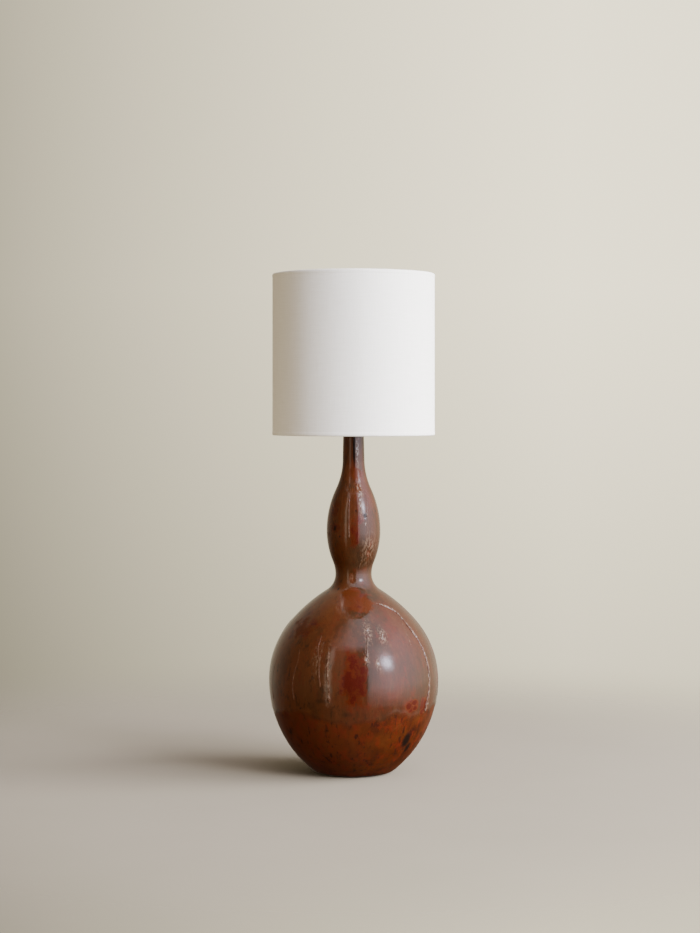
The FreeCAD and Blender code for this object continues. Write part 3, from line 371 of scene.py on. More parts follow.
makeFloor(stageLook)
makePanels(stageLook)
makeRoom(stageLook)
makeCamera(stageLook)
print("stage ready")


# glaze: a coat with runs, a rolled lower edge, pits and iron patches over the stoneware

gourdOutline = {  # millimetres, the stoneware's own arcs
    "footRadius": 62.1, "footHeight": 2.0, "bellyRadius": 131.5, "bellyHeight": 144.0,
    "sideRadius": 138.5, "shoulderRise": 89.0, "shoulderRadius": 245.0,
    "waistRadius": 27.8, "waistLower": 29.4, "waistUpper": 51.0,
    "bulgeRadius": 41.3, "bulgeLower": 127.0, "bulgeUpper": 153.0,
    "neckHollow": 112.2, "neckRadius": 16.5, "neckLength": 46.0, "neckTopRadius": 15.5,
}


def gourdWall(o, startHeight, spacing):
    # radius, height and outward lean along the wall, from the start height to the top of the neck.
    # Eight tangent arcs: a swelling arc's point is its centre plus its radius along the lean, a
    # hollow one's is its centre minus it. The neck is a straight line.
    step, drop = o["bellyRadius"] - o["footRadius"], o["bellyHeight"] - o["footHeight"]
    footCurve = (drop ** 2 + step ** 2) / (2 * step)
    gain = o["shoulderRadius"] - o["sideRadius"]
    leanUp = o["shoulderRise"] / o["sideRadius"]
    shoulder = (o["bellyRadius"] - o["sideRadius"] - gain * math.sqrt(1 - leanUp ** 2),
                o["bellyHeight"] - gain * leanUp)
    waistAcross = o["waistRadius"] + o["waistLower"]
    waist = shoulder[1] + math.sqrt((o["shoulderRadius"] + o["waistLower"]) ** 2
                                    - (waistAcross - shoulder[0]) ** 2)

    def span(wide, narrow, radii):
        return math.sqrt(radii ** 2 - (radii - wide + narrow) ** 2)

    bulge = waist + span(o["bulgeRadius"], o["waistRadius"], o["bulgeLower"] + o["waistUpper"])
    neck = bulge + span(o["bulgeRadius"], o["neckRadius"], o["bulgeUpper"] + o["neckHollow"])
    centres = [(o["bellyRadius"] - footCurve, o["bellyHeight"], footCurve, 1),
               (o["bellyRadius"] - o["sideRadius"], o["bellyHeight"], o["sideRadius"], 1),
               (*shoulder, o["shoulderRadius"], 1),
               (waistAcross, waist, o["waistLower"], -1),
               (o["waistRadius"] + o["waistUpper"], waist, o["waistUpper"], -1),
               (o["bulgeRadius"] - o["bulgeLower"], bulge, o["bulgeLower"], 1),
               (o["bulgeRadius"] - o["bulgeUpper"], bulge, o["bulgeUpper"], 1),
               (o["neckRadius"] + o["neckHollow"], neck, o["neckHollow"], -1)]

    def leanBetween(swelling, hollow):
        return math.atan2(hollow[1] - swelling[1], hollow[0] - swelling[0])

    leans = [math.asin((startHeight - o["bellyHeight"]) / footCurve), 0.0, math.asin(leanUp),
             leanBetween(centres[2], centres[3]), 0.0, leanBetween(centres[5], centres[4]), 0.0,
             leanBetween(centres[6], centres[7]), 0.0]
    radius, height, lean = [], [], []
    for (across, up, curve, sense), low, high in zip(centres, leans, leans[1:]):
        count = max(3, round(curve * abs(high - low) / spacing))
        angles = np.linspace(low, high, count, endpoint=False)
        radius.append(across + sense * curve * np.cos(angles))
        height.append(up + sense * curve * np.sin(angles))
        lean.append(angles)
    count = round(o["neckLength"] / spacing)
    share = np.linspace(0, 1, count)
    radius.append(o["neckRadius"] + (o["neckTopRadius"] - o["neckRadius"]) * share)
    height.append(neck + o["neckLength"] * share)
    lean.append(np.full(count, math.atan2(o["neckRadius"] - o["neckTopRadius"], o["neckLength"])))
    return np.concatenate(radius), np.concatenate(height), np.concatenate(lean)


glazeLook = {
    "startHeight": 15.0, "spacing": 2.6, "columns": 360, "seed": 7, "thickness": 0.5,
    # slow swelling: waves round the wall, their pitch up the wall, height
    "swelling": [(2, 310, 0.12), (3, 190, 0.09), (5, 120, 0.06), (9, 70, 0.04)],
    # lower edge of the thick coat: degrees and height on the front, how far round these go and over
    # how much they fade, waves beyond, and a ripple all round. Waves: how many round, height, shift
    "edge": [(-95, 108), (-80, 97), (-64, 99), (-40, 107), (-18, 96), (-2.5, 92), (8, 97), (19, 96),
        (30, 106), (44, 96), (59, 100), (71, 110), (90, 102)],
    "edgeFront": (105, 15), "edgeWaves": [(3, 5.0, 1.3), (5, 3.2, 4.0), (11, 2.2, 0.4)],
    "edgeRipple": [(31, 0.9, 0.0), (47, 0.7, 2.0)], "edgeSoft": 1.25,
    # bead on the edge: height, half width; how thick the coat is below it
    "edgeBead": (0.4, 3.0), "thinShare": 0.35,
    # the coat's ends: fade below and above, depth under the clay, hidden return
    "fadeEnds": (14, 3), "sunk": 0.4, "returnDepth": 2, "returnStep": 6,
    # runs: a path of (degrees to the right of the front, height), the bead's half width and height,
    # and how pale its glaze is
    "runs": [
        ([(31, 268), (44, 262), (54, 253), (57, 230), (61.5, 194), (61.5, 148), (59, 101)], 3.3, 1.7, 1.0),
        ([(-17.5, 206), (-18.5, 180), (-17, 150), (-16.5, 124)], 2.4, 0.5, 0.9),
        ([(-23, 222), (-24, 196), (-25, 176)], 1.3, 0.35, 0.45),
        ([(11, 236), (10.5, 215), (9, 192)], 1.5, 0.4, 0.45),
        ([(52, 245), (49, 225), (48, 205)], 1.2, 0.4, 0.45),
        ([(-12, 446), (-11, 410), (-10, 366)], 0.9, 0.4, 0.6),
        ([(38, 440), (36, 415), (30, 398)], 1.0, 0.5, 0.45),
        ([(20, 352), (21, 335), (17, 318)], 0.9, 0.35, 0.45),
    ],
    # more runs round the sides and back, with the spans of their seeded draws
    "bellyRuns": {"starts": (86, 104, 131, 158, 187, 209, 238, 262, 287, 311, 331), "shift": 6,
        "top": (190, 270), "low": (104, 150), "points": 5, "sway": 2.5,
        "width": (1.1, 1.9), "depth": (0.4, 1.1)},
    "bulgeRuns": {"starts": (90, 150, 205, 290), "top": 440, "low": (340, 380), "points": 4, "sway": 5,
        "width": 1.0, "depth": 0.4},
    "drawnPale": 0.45,
    "runSamples": 60, "runStep": 2.0, "leastRows": 8, "runSides": 12, "runSunk": 0.15,
    # length of its thin start, and of its round end in widths; then the mean, wave, pitch and drop of
    # mean + wave * sin(length / pitch) + drop * share^6, where the share goes from 0 to 1
    "runEnds": (14, 1.8), "runSwelling": (0.75, 0.125, 9, 0.55),
    # places on the wall: degrees, height, half width and half height in millimetres, strength.
    # Iron shows red, pale is curdled glaze, and at its strongest a painted reflection of the window;
    # ember is thin coat over red clay, dark is bare iron, with a painted shadow and a painted dark
    # reflection among the dark places
    "iron": [(5, 271, 20, 20, 0.62), (0, 158, 24, 44, 1.0), (42, 116, 14, 10, 1.4), (55, 113, 8, 15, 1.4),
        (2, 372, 9, 26, 0.9), (16, 396, 7, 10, 0.9), (10, 465, 13, 11, 1.0), (-46, 232, 30, 16, 0.7),
        (-52, 96, 22, 16, 0.5), (30, 84, 26, 12, 0.5), (-50, 407, 9, 13, 0.8), (-44, 381, 11, 9, 0.8)],
    # painted reflection: (21, 503) on the neck and (17, 424) on the bulge are the window mirrored there
    "pale": [(-18, 165, 4, 46, 0.8), (-26, 190, 9, 30, 0.7), (12, 228, 6, 16, 1.2), (24, 222, 7, 12, 1.2),
        (9, 190, 4, 12, 1.2), (17, 182, 4, 12, 1.2), (61, 160, 3, 30, 0.8), (20, 440, 5, 14, 1.3),
        (21, 503, 3.0, 26, 1.8), (38, 350, 14, 24, 0.8), (-4, 300, 6, 10, 0.7),
        (17, 424, 2.4, 26, 1.4), (26.5, 388, 2.2, 2.4, 1.6)],
    "ember": [(-4, 276, 15, 15, 1.1), (10, 266, 21, 12.5, 1.1), (-6, 304, 5, 9, 0.8), (10, 465, 13, 11, 0.9),
        (40, 116, 7, 6, 1.9), (45, 121, 7, 5, 1.8), (46, 112, 6, 4, 1.8), (57, 113, 4, 12, 2.0),
        (54, 104, 5, 5, 1.8), (-38, 400, 20, 62, 0.5), (-30, 345, 12, 22, 0.6),
        (-46, 232, 26, 14, 0.6), (-62, 236, 14, 10, 0.5), (-52, 92, 24, 10, 0.62),
        (-24, 84, 20, 9, 0.5), (30, 84, 22, 10, 0.5)],
    # painted shadow at (65.5, 168) beside the big run; painted dark reflection at (4, 506) down the neck
    "dark": [(65.5, 168, 1.6, 52, 0.5), (-4, 108, 20, 8, 0.36), (-22, 127, 18, 6, 0.42),
        (5.7, 408, 2.0, 1.6, 1.0), (61, 407, 1.6, 1.4, 1.0), (26.7, 401, 3.0, 3.6, 1.0),
        (4, 506, 2.4, 28, 1.0), (-44, 380, 3, 3, 0.8), (-31, 369, 2, 2, 0.8), (46, 62, 9, 16, 0.8),
        (52, 48, 6, 9, 0.8)],
    # seeded places: how many, the spans of the same four measures, strength
    "moreIron": [(9, ((80, 300), (120, 270), (8, 24), (12, 34)), 0.9),
        (4, ((70, 330), (340, 450), (4, 9), (8, 20)), 0.9)],
    "moreDark": [(14, ((70, 330), (30, 420), (1.4, 3), (1.4, 3)), 0.9)],
    # an ember by each seeded iron patch: degrees on, millimetres down, shares of its size, strength
    "emberBeside": (9, 8, 0.7, 0.6, 0.7),
    "patchPower": 2.0,
    # the neck's darker glaze: its lower edge and the waves of it, softness, strength
    "neckDarkFrom": 478.0, "neckEdgeWaves": [(2, 3.0, 0.6), (5, 2.0, 2.0)], "neckSoft": 1.4, "neckDark": 0.32,
    # pits: degrees, height, radius, depth; and where the rim stands and how high, as shares of these
    "pits": [(26, 398, 2.6, 0.4), (25.5, 391, 2.0, 0.35), (5.7, 408, 1.8, 0.3), (61, 407, 1.5, 0.3)],
    "pitRim": (1.6, 0.25),
}


def onWall(profile, degrees, height):
    # point of the wall at an angle from the front and a height, in millimetres
    return aroundAxis(np.interp(height, profile[1], profile[0]), np.radians(degrees), height)


def drawnPlaces(chance, rows):
    places = []
    for count, spans, strength in rows:
        places += [(*(chance.uniform(*span) for span in spans), strength) for _ in range(count)]
    return places


def makeGlaze(look, outline):
    radius, height, lean = gourdWall(outline, look["startHeight"], look["spacing"])
    angle = anglesRound(look["columns"])
    degrees = np.degrees(angle)[None, :]
    up = height[:, None]
    wall = aroundAxis(radius[:, None], angle, up)
    chance = np.random.default_rng(look["seed"])

    # slow swelling: a sum of size * sin(count * angle + shift + sin(2 pi height / pitch + shift))
    relief = np.full(wall.shape[:2], look["thickness"])
    for count, pitch, size in look["swelling"]:
        shift = chance.uniform(0, 2 * np.pi, 2)
        relief += size * np.sin(count * angle[None, :] + shift[0] + np.sin(up / pitch * 2 * np.pi + shift[1]))

    # wavy lower edge: thick coat above, thin below, with a rolled bead on the edge itself
    around = turnedAway(degrees[0], 0)
    frontTurns, frontHeights = np.array(look["edge"], float).T
    frontHalf, frontFade = look["edgeFront"]
    front = np.clip((frontHalf - np.abs(around)) / frontFade, 0, 1)
    wander = frontHeights.mean() + waves(angle, look["edgeWaves"])
    edge = front * np.interp(around, frontTurns, frontHeights) + (1 - front) * wander
    edge = (edge + waves(angle, look["edgeRipple"]))[None, :]
    coat = softStep(up - edge, look["edgeSoft"])
    bead, beadWidth = look["edgeBead"]
    relief = relief * (look["thinShare"] + (1 - look["thinShare"]) * coat)
    relief += bead * np.exp(-((up - edge - beadWidth) / beadWidth) ** 2)

    def sideways(turn):
        # millimetres round the wall from an angle
        return np.radians(turnedAway(degrees, turn)) * radius[:, None]

    def spots(places, power=1.0):
        # soft ellipses, strength * exp(-(across^2 + along^2)^power), where the strongest wins
        field = np.zeros(relief.shape)
        for turn, level, wide, tall, strength in places:
            away = (sideways(turn) / wide) ** 2 + ((up - level) / tall) ** 2
            field = np.maximum(field, strength * np.exp(-away ** power))
        return field

    more = drawnPlaces(chance, look["moreIron"])
    iron = spots(look["iron"] + more, look["patchPower"])
    turned, down, wider, taller, emberStrength = look["emberBeside"]
    beside = [(turn + turned, level - down, wide * wider, tall * taller, emberStrength)
              for turn, level, wide, tall, *_ in more]
    ember = spots(look["ember"] + beside, look["patchPower"])
    pale = spots(look["pale"])
    dark = spots(look["dark"] + drawnPlaces(chance, look["moreDark"]))
    # the neck's glaze is darker, down to a torn edge
    neckEdge = look["neckDarkFrom"] + waves(angle, look["neckEdgeWaves"])
    dark = np.maximum(dark, look["neckDark"] * softStep(up - neckEdge, look["neckSoft"]))
    rimAt, rimShare = look["pitRim"]
    for turn, level, size, depth in look["pits"]:
        gap = np.hypot(sideways(turn), up - level)
        relief += rimShare * depth * np.exp(-((gap - size * rimAt) / size) ** 2)
        relief -= depth * np.exp(-(gap / size) ** 2)

    # the coat runs out under the clay's surface at both ends
    length = lengthAlong(radius, height)
    below, above = look["fadeEnds"]
    fade = np.clip(np.minimum(length / below, (length[-1] - length) / above), 0, 1)[:, None]
    relief = (relief + look["sunk"]) * fade - look["sunk"]
    outside = wall + relief[..., None] * aroundAxis(np.cos(lean)[:, None], angle, np.sin(lean)[:, None])
    # a hidden return inside the clay closes the coat
    back = slice(None, None, -look["returnStep"])
    inside = aroundAxis((radius - look["returnDepth"] * np.cos(lean))[back, None], angle,
                        (height - look["returnDepth"] * np.sin(lean))[back, None])
    quiet = np.zeros(inside.shape[:2])
    fields = {"coat": coat, "iron": iron, "ember": ember, "pale": pale, "dark": dark}
    values = {name: np.concatenate([field, quiet]) for name, field in fields.items()}
    return gridMesh("glaze_coat", np.concatenate([outside, inside]) * mm, closedAlong=True, values=values)


def smoothThrough(values, share):
    # smooth cubic through values p0 to p3, with t from 0 at p1 to 1 at p2:
    # p1 + t/2 (p2 - p0) + t^2 (p0 - 5/2 p1 + 2 p2 - p3/2) + t^3/2 (3 p1 - p0 - 3 p2 + p3)
    padded = np.concatenate([[2 * values[0] - values[1]], values, [2 * values[-1] - values[-2]]])
    first = np.minimum(share.astype(int), len(values) - 2)
    t = share - first
    p0, p1, p2, p3 = (padded[first + k] for k in range(4))
    return (p1 + t / 2 * (p2 - p0) + t ** 2 * (p0 - 2.5 * p1 + 2 * p2 - p3 / 2)
            + t ** 3 / 2 * (3 * p1 - p0 - 3 * p2 + p3))


def allRuns(look):
    # the runs of the front, then the seeded ones
    chance = np.random.default_rng(look["seed"] + 1)
    runs = list(look["runs"])
    draw = look["bellyRuns"]
    for start in draw["starts"]:
        turn = start + chance.uniform(-draw["shift"], draw["shift"])
        top, low = chance.uniform(*draw["top"]), chance.uniform(*draw["low"])
        path = [(turn + chance.uniform(-draw["sway"], draw["sway"]), level)
                for level in np.linspace(top, low, draw["points"])]
        runs.append((path, chance.uniform(*draw["width"]), chance.uniform(*draw["depth"]), look["drawnPale"]))
    draw = look["bulgeRuns"]
    for start in draw["starts"]:
        low = chance.uniform(*draw["low"])
        path = [(start + chance.uniform(-draw["sway"], draw["sway"]), level)
                for level in np.linspace(draw["top"], low, draw["points"])]
        runs.append((path, draw["width"], draw["depth"], look["drawnPale"]))
    return runs


def makeRuns(look, outline):
    # beads of glaze that ran and froze: a flattened tube on each path, widest at its lower end.
    # A point of the ring is  path + side * width * cos(a) + outward * depth * sin(a).
    radius, height, lean = gourdWall(outline, look["startHeight"], look["spacing"])
    profile = (radius, height)
    shape = bmesh.new()
    for path, width, depth, paleness in allRuns(look):
        chain = np.array(path, float)
        share = np.linspace(0, len(chain) - 1, look["runSamples"])
        chain = np.stack([smoothThrough(chain[:, k], share) for k in (0, 1)], -1)
        middle = onWall(profile, chain[:, 0], chain[:, 1])
        gone = np.concatenate([[0], np.cumsum(np.linalg.norm(np.diff(middle, axis=0), axis=1))])
        even = np.linspace(0, gone[-1], max(look["leastRows"], round(gone[-1] / look["runStep"])))
        turn, level = (np.interp(even, gone, chain[:, k]) for k in (0, 1))
        leaning = np.interp(level, height, lean)
        out = aroundAxis(np.cos(leaning), np.radians(turn), np.sin(leaning))
        middle = onWall(profile, turn, level) + out * (look["thickness"] - look["runSunk"])
        ahead = np.gradient(middle, axis=0)
        side = np.cross(ahead / np.linalg.norm(ahead, axis=1, keepdims=True), out)
        start, end = look["runEnds"]
        rounded = np.sqrt(np.clip((even[-1] - even) / (width * end), 0, 1))
        ends = np.minimum(np.clip(even / start, 0, 1), rounded)
        mean, wave, pitch, drop = look["runSwelling"]
        swell = (mean + wave * np.sin(even / pitch + turn[0]) + drop * (even / even[-1]) ** 6) * ends
        a = anglesRound(look["runSides"])
        points = (middle[:, None] + side[:, None] * np.outer(width * swell, np.cos(a))[..., None]
                  + out[:, None] * np.outer(depth * swell, np.sin(a))[..., None]) * mm
        whole = np.ones(points.shape[:2])
        piece = gridMesh("run", points, values={"coat": whole, "pale": paleness * whole})
        shape.from_mesh(piece.data)
        bpy.data.meshes.remove(piece.data)
    mesh = bpy.data.meshes.new("glaze_runs")
    weld(shape, mesh)
    return placed("glaze_runs", mesh)


glazeTones = {
    # grains: size in millimetres, detail, roughness, how many times as tall, seed
    "flow": (55, 4, 0.5, 2.0, 3.1),
    "lines": (6, 4, 0.6, 7.0, 9.7),
    "thinCloud": (26, 5, 0.6, 1.5, 5.3),
    "embers": (12, 5, 0.7, 1.6, 12.5),
    "streaks": (7, 4, 0.65, 5.0, 1.9),
    "curdle": (10, 6, 0.72, 2.2, 14.1),
    "cloud": (24, 5, 0.65, 1.8, 21.3),
    "torn": (15, 6, 0.72, 1.2, 6.6),
    "crack": (9, 6, 0.75, 1.3, 16.2),
    "fleck": (2.6, 4, 0.7, 2.5, 2.4),
    "fine": (4.0, 3, 0.5, 1.6, 4.4),
    "swell": (22, 4, 0.5, 1.0, 7.7),
    # the two coats: colours along their grain
    "thickColours": [(0.36, "#2b1808"), (0.47, "#371a09"), (0.58, "#401a0a"), (0.7, "#432410")],
    "thinColours": [(0.35, "#2e0f02"), (0.5, "#3b1703"), (0.68, "#452006")],
    # painted light and shade: the side whose coat is painted lighter; the far side is painted darker
    "fireSide": (-0.95, -0.3, 0.0),
    # tints: where the field starts and ends to bring it in, its share, its colour
    "paleLines": (0.5, 0.75, 0.3, "#59351c"),
    "darkLines": (0.44, 0.3, 0.3, "#1d0d05"),
    "fireThick": (0.15, 1.1, 0.7, "#5a3012"),
    "lateThick": (-0.2, -0.9, 0.55, "#31190e"),
    "fireThin": (0.0, 0.6, 0.6, "#54240a"),
    "thinEmbers": (0.48, 0.62, 0.65, "#541907"),
    "thinStreaks": (0.56, 0.66, 0.7, "#140703"),
    "redCurdle": (0.55, 0.65, 0.45, "#4d1806"),
    "darkCurdle": (0.44, 0.34, 0.65, "#241407"),
    "darkCloud": (0.54, 0.62, 0.45, "#2f1c0c"),
    "ironEdge": (0.45, 0.6, 0.5, "#4a1203"),
    "ironMiddle": (0.75, 1.0, 0.8, "#380702"),
    "brick": (0.52, 0.58, 0.75, "#47200c"),
    "redBrick": (1.2, 1.3, 0.85, "#370c05"),
    "paleFlecks": (0.1, 0.7, 0.45, "#76604f"),
    # painted reflection: the strongest pale places turn the bluish white of the window mirrored in the glaze
    "brightFlecks": (0.85, 1.2, 0.8, "#8d8d94"),
    "darkMarks": (0.25, 0.6, 0.9, "#0c0604"),
    # what a grain adds to a field, or multiplies it by: from, to, value at the first and the second
    "tornShare": (0.35, 0.65, -0.5, 0.5),
    "crackShare": (0.35, 0.65, -0.3, 0.3),
    "fleckShare": (0.45, 0.6, 0.05, 1.0),
    # relief: depth in millimetres, strength
    "swellRelief": (0.6, 0.6), "fineRelief": (0.06, 0.6),
    # the glassy skin from thin coat to thick, what is under it, and the skin on bare brick
    "gloss": (0.32, 1.0), "glossRoughness": (0.2, 0.06), "underRoughness": (0.54, 0.42),
    "brickGloss": (1.0, 0.25),
}


def glazeMaterial(look):
    # fired iron glaze on stoneware: a deep glassy coat over a brown body that breaks to red
    material, tree, shader = newMaterial("iron red reduction glaze")
    coat, iron, ember, pale, dark = (
        addNode(tree, "Attribute", {"attribute_name": name}).outputs["Fac"]
        for name in ("coat", "iron", "ember", "pale", "dark"))

    def grain(name):
        return noise(tree, *look[name])

    def tint(colour, field, name):
        return tinted(tree, colour, field, *look[name])

    def coloured(field, stops):
        return addNode(tree, "ValToRGB", inputs={0: field}, stops=stops).outputs[0]

    thick = coloured(grain("flow"), look["thickColours"])
    lines = grain("lines")
    thick = tint(thick, lines, "paleLines")
    thick = tint(thick, lines, "darkLines")
    thin = coloured(grain("thinCloud"), look["thinColours"])
    # painted light and shade: the coat is painted a lighter, yellower brown on the left, less lit side
    # and a darker one on the right, lit side
    side = vectorMath(tree, "NORMALIZE", vectorMath(tree, "MULTIPLY", objectPlace(tree), (1, 1, 0))[0])[0]
    towardPaintedLight = vectorMath(tree, "DOT_PRODUCT", side, look["fireSide"])["Value"]
    thick = tint(thick, towardPaintedLight, "fireThick")
    thick = tint(thick, towardPaintedLight, "lateThick")
    thin = tint(thin, towardPaintedLight, "fireThin")
    # thin coat by the foot: redder, with dark streaks where the iron gathered
    thin = tint(thin, grain("embers"), "thinEmbers")
    thin = tint(thin, grain("streaks"), "thinStreaks")
    # small dark and red curdling in the thick coat, drawn out downwards
    curdle = grain("curdle")
    thick = tint(thick, curdle, "redCurdle")
    thick = tint(thick, curdle, "darkCurdle")
    thick = tint(thick, grain("cloud"), "darkCloud")
    colour = mixColour(tree, coat, thin, thick)
    # iron breaks through in ragged patches: the patch's field plus noise, cut at a level
    ragged = combine(tree, "ADD", iron, reach(tree, grain("torn"), *look["tornShare"]))
    colour = tint(colour, ragged, "ironEdge")
    colour = tint(colour, ragged, "ironMiddle")
    # where the coat is thin over red clay it is brick orange and nearly matt, cut the same way
    bricks = combine(tree, "ADD", ember, reach(tree, grain("crack"), *look["crackShare"]))
    colour = tint(colour, bricks, "brick")
    colour = tint(colour, bricks, "redBrick")
    flecks = multiply(tree, pale, reach(tree, grain("fleck"), *look["fleckShare"]))
    colour = tint(colour, flecks, "paleFlecks")
    # painted reflection of the window on the strongest pale places
    colour = tint(colour, flecks, "brightFlecks")
    # dark marks of bare iron, with the painted shadow and the painted dark reflection among them
    colour = tint(colour, dark, "darkMarks")
    skin = bumped(tree, grain("fine"), *look["fineRelief"])
    normal = bumped(tree, grain("swell"), *look["swellRelief"], skin)
    gloss = multiply(tree, reach(tree, coat, 0, 1, *look["gloss"]),
                     reach(tree, bricks, *look["brick"][:2], *look["brickGloss"]))
    setShader(tree, shader, BaseColor=colour, Roughness=reach(tree, coat, 0, 1, *look["underRoughness"]),
              IOR=1.5, Normal=normal, SpecularIORLevel=0.15, CoatWeight=gloss,
              CoatRoughness=reach(tree, coat, 0, 1, *look["glossRoughness"]), CoatIOR=1.5, CoatNormal=normal)
    return material


glaze = glazeMaterial(glazeTones)
glazeCoat = makeGlaze(glazeLook, gourdOutline)
finish(glazeCoat, glaze, "base")
finish(makeRuns(glazeLook, gourdOutline), glaze, "base")
print("glaze ready:", len(glazeCoat.data.polygons), "faces")


# shade: woven cover laminated to its liner, with rolled edges and one overlapped seam

shadeLook = {
    "radius": 127.0, "bottom": 524.5, "top": 776.5, "cloth": 0.7, "turnIn": 9.0, "ringRadius": 1.7,
    # the trim band at both ends: width, how far it stands proud, width of its step
    "trim": 6.0, "trimStep": 0.35, "stepWidth": 0.8,
    "seamDegrees": 168.0, "seamWidth": 11.0, "seamHeight": 0.3, "seamSoft": 1 / 3,
    # unevenness round the drum: waves round, height, shift
    "uneven": [(7, 0.05, 1), (17, 0.04, 0)],
    # rows of the mesh: each flat end, each rolled edge, the drum between the trims
    "endRows": 5, "rollRows": 13, "drumRows": 44, "columns": 360,
    # threads: length and width in millimetres. The real ones are 0.4 mm apart; 1.1 mm is the least
    # that shows in the render
    "thread": (38, 1.1), "crossThread": (1.1, 46), "weaveTones": (0.35, 0.65, "#f0efec", "#fcfcfa"),
}


def makeShadeCover(look):
    # the cloth's outer line up the drum, rolled over each ring and a little way down inside;
    # the inner line follows it one cloth thickness in
    outerR, roll = look["radius"], look["ringRadius"] + look["cloth"]
    centreR, innerR = outerR - roll, outerR - 2 * roll
    bottom, top, step = look["bottom"], look["top"], look["stepWidth"]
    lowTrim, highTrim = bottom + look["trim"], top - look["trim"]
    ends = look["endRows"]
    bend = np.linspace(0, np.pi, look["rollRows"])[1:-1]
    lift = np.linspace(look["turnIn"], roll, ends)
    drum = np.linspace(lowTrim + step, highTrim - step, look["drumRows"])
    rise = np.concatenate([
        np.linspace(bottom + roll, lowTrim, ends), drum, np.linspace(highTrim, top - roll, ends)])
    radius = np.concatenate([
        np.full(ends, innerR), centreR - roll * np.cos(bend), np.full(len(rise), outerR),
        centreR + roll * np.cos(bend), np.full(ends, innerR)])
    height = np.concatenate([
        bottom + lift, bottom + roll - roll * np.sin(bend), rise, top - roll + roll * np.sin(bend),
        top - lift[::-1]])
    # outward direction of each profile point, from its neighbours
    along = np.stack([np.gradient(radius), np.gradient(height)], -1)
    along /= np.linalg.norm(along, axis=-1, keepdims=True)
    facing = np.stack([along[:, 1], -along[:, 0]], -1)
    angle = anglesRound(look["columns"])
    fromSeam = np.radians(turnedAway(np.degrees(angle), look["seamDegrees"])) * outerR
    lap = softStep(look["seamWidth"] / 2 - np.abs(fromSeam), look["seamSoft"])
    band = ((height < lowTrim) | (height > highTrim)).astype(float)
    # how far the cloth stands out: the trim is flush with the radius, the drum a step inside it
    proud = ((band[:, None] - 1) * look["trimStep"] + look["seamHeight"] * lap[None, :]
             + waves(angle, look["uneven"])[None, :])
    lines = []
    for depth in (0.0, look["cloth"]):
        out = proud - depth
        across, up = radius[:, None] + facing[:, :1] * out, height[:, None] + facing[:, 1:] * out
        lines.append(aroundAxis(across, angle, up))
    points = np.concatenate([lines[0], lines[1][::-1]]) * mm
    length = lengthAlong(radius, height) * mm
    uv = {"round": 2 * np.pi * outerR * mm, "along": np.concatenate([length, length[::-1]])}
    return gridMesh("shade_fabric", points, closedAlong=True, uv=uv)


def clothMaterial(look):
    # fine plain weave, matt, with soft fuzz; slubs run both ways
    material, tree, shader = newMaterial("plain woven linen and cotton")
    place = addNode(tree, "UVMap", {"uv_map": "UVMap"}).outputs[0]

    def threads(sizeAcross, sizeUp):
        mapped = addNode(tree, "Mapping", inputs={
            "Vector": place, "Scale": (1 / (sizeAcross * mm), 1 / (sizeUp * mm), 1)}).outputs[0]
        return addNode(tree, "TexNoise", inputs={
            "Vector": mapped, "Scale": 1.0, "Detail": 3, "Roughness": 0.6}).outputs[0]

    both = combine(tree, "ADD", threads(*look["thread"]), threads(*look["crossThread"]))
    weave = multiply(tree, both, 0.5)
    tone = between(tree, weave, *look["weaveTones"])
    setShader(tree, shader, BaseColor=tone, Roughness=0.85, Normal=bumped(tree, weave, 0.12, 0.6),
              SpecularIORLevel=0.25, SheenWeight=0.15, SheenRoughness=0.5)
    return material


cloth = clothMaterial(shadeLook)
shadeCover = makeShadeCover(shadeLook)
finish(shadeCover, cloth, "shade")
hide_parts("shade_cover")
print("shade ready")


# felt under the foot

feltLook = {
    "radius": 54.0, "thickness": 2.0, "columns": 144, "faceRows": 12, "rimRows": 9,
    # the cut rim's unevenness, as a share of the radius
    "fray": 0.0012, "seed": 3,
    "hair": (0.9, 4, 0.7, 0.5, 2.0), "hairTones": (0.35, 0.65, "#26221d", "#3a342c"),
}


def makeFelt(look):
    # cut disc: flat below, soft rounded rim, a little uneven where the cut fibres stand out
    half = look["thickness"] / 2
    flat = look["radius"] - half
    face = np.linspace(0, flat, look["faceRows"])[:-1]
    rim = np.linspace(-np.pi / 2, np.pi / 2, look["rimRows"])
    radius = np.concatenate([face, flat + half * np.cos(rim), face[::-1]])
    height = np.concatenate([0 * face, half + half * np.sin(rim), 0 * face + look["thickness"]])
    points = turnedGrid(radius, height, look["columns"])
    fray = np.random.default_rng(look["seed"]).normal(0, look["fray"], look["columns"])
    onRim = (radius > flat - 0.01)[:, None, None]
    points[..., :2] *= 1 + fray[None, :, None] * onRim
    return closePoles(gridMesh("felt_pad", points))


def feltMaterial(look):
    # matted fibres: no gloss, soft fuzz, short random hairs
    material, tree, shader = newMaterial("pressed wool felt")
    hair = noise(tree, *look["hair"])
    tone = between(tree, hair, *look["hairTones"])
    setShader(tree, shader, BaseColor=tone, Roughness=0.95, Normal=bumped(tree, hair, 0.25, 0.8),
              SpecularIORLevel=0.1, SheenWeight=0.4, SheenRoughness=0.6)
    return material


felt = makeFelt(feltLook)
finish(felt, feltMaterial(feltLook), "base")
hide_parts("base_felt")
print("felt ready")


# bulb cap and the shell that takes it, with their rolled thread

threadLook = {"pitch": 3.6, "runOut": 1.2, "columns": 96, "step": 0.3}
# foot: radius and rise of the points below the wall. The cap has a folded edge and a straight collar
# above its thread; the shell has a floor with a window for the middle contact
capLook = {
    "bottom": 587.9, "top": 608.9, "radius": 13.1, "foot": [(12.3, 0.0), (13.1, 0.8)], "rise": 1.0,
    "middle": 12.75, "swing": 0.42, "threaded": (589.6, 600.2), "thickness": 0.4,
}
shellLook = {
    "bottom": 580.1, "top": 600.1, "radius": 13.85, "foot": [(6.5, 0.0), (10.0, 0.0), (13.35, 0.0)],
    "rise": 0.5, "middle": 13.95, "swing": 0.28, "threaded": (581.5, 599.0), "thickness": 0.36,
}


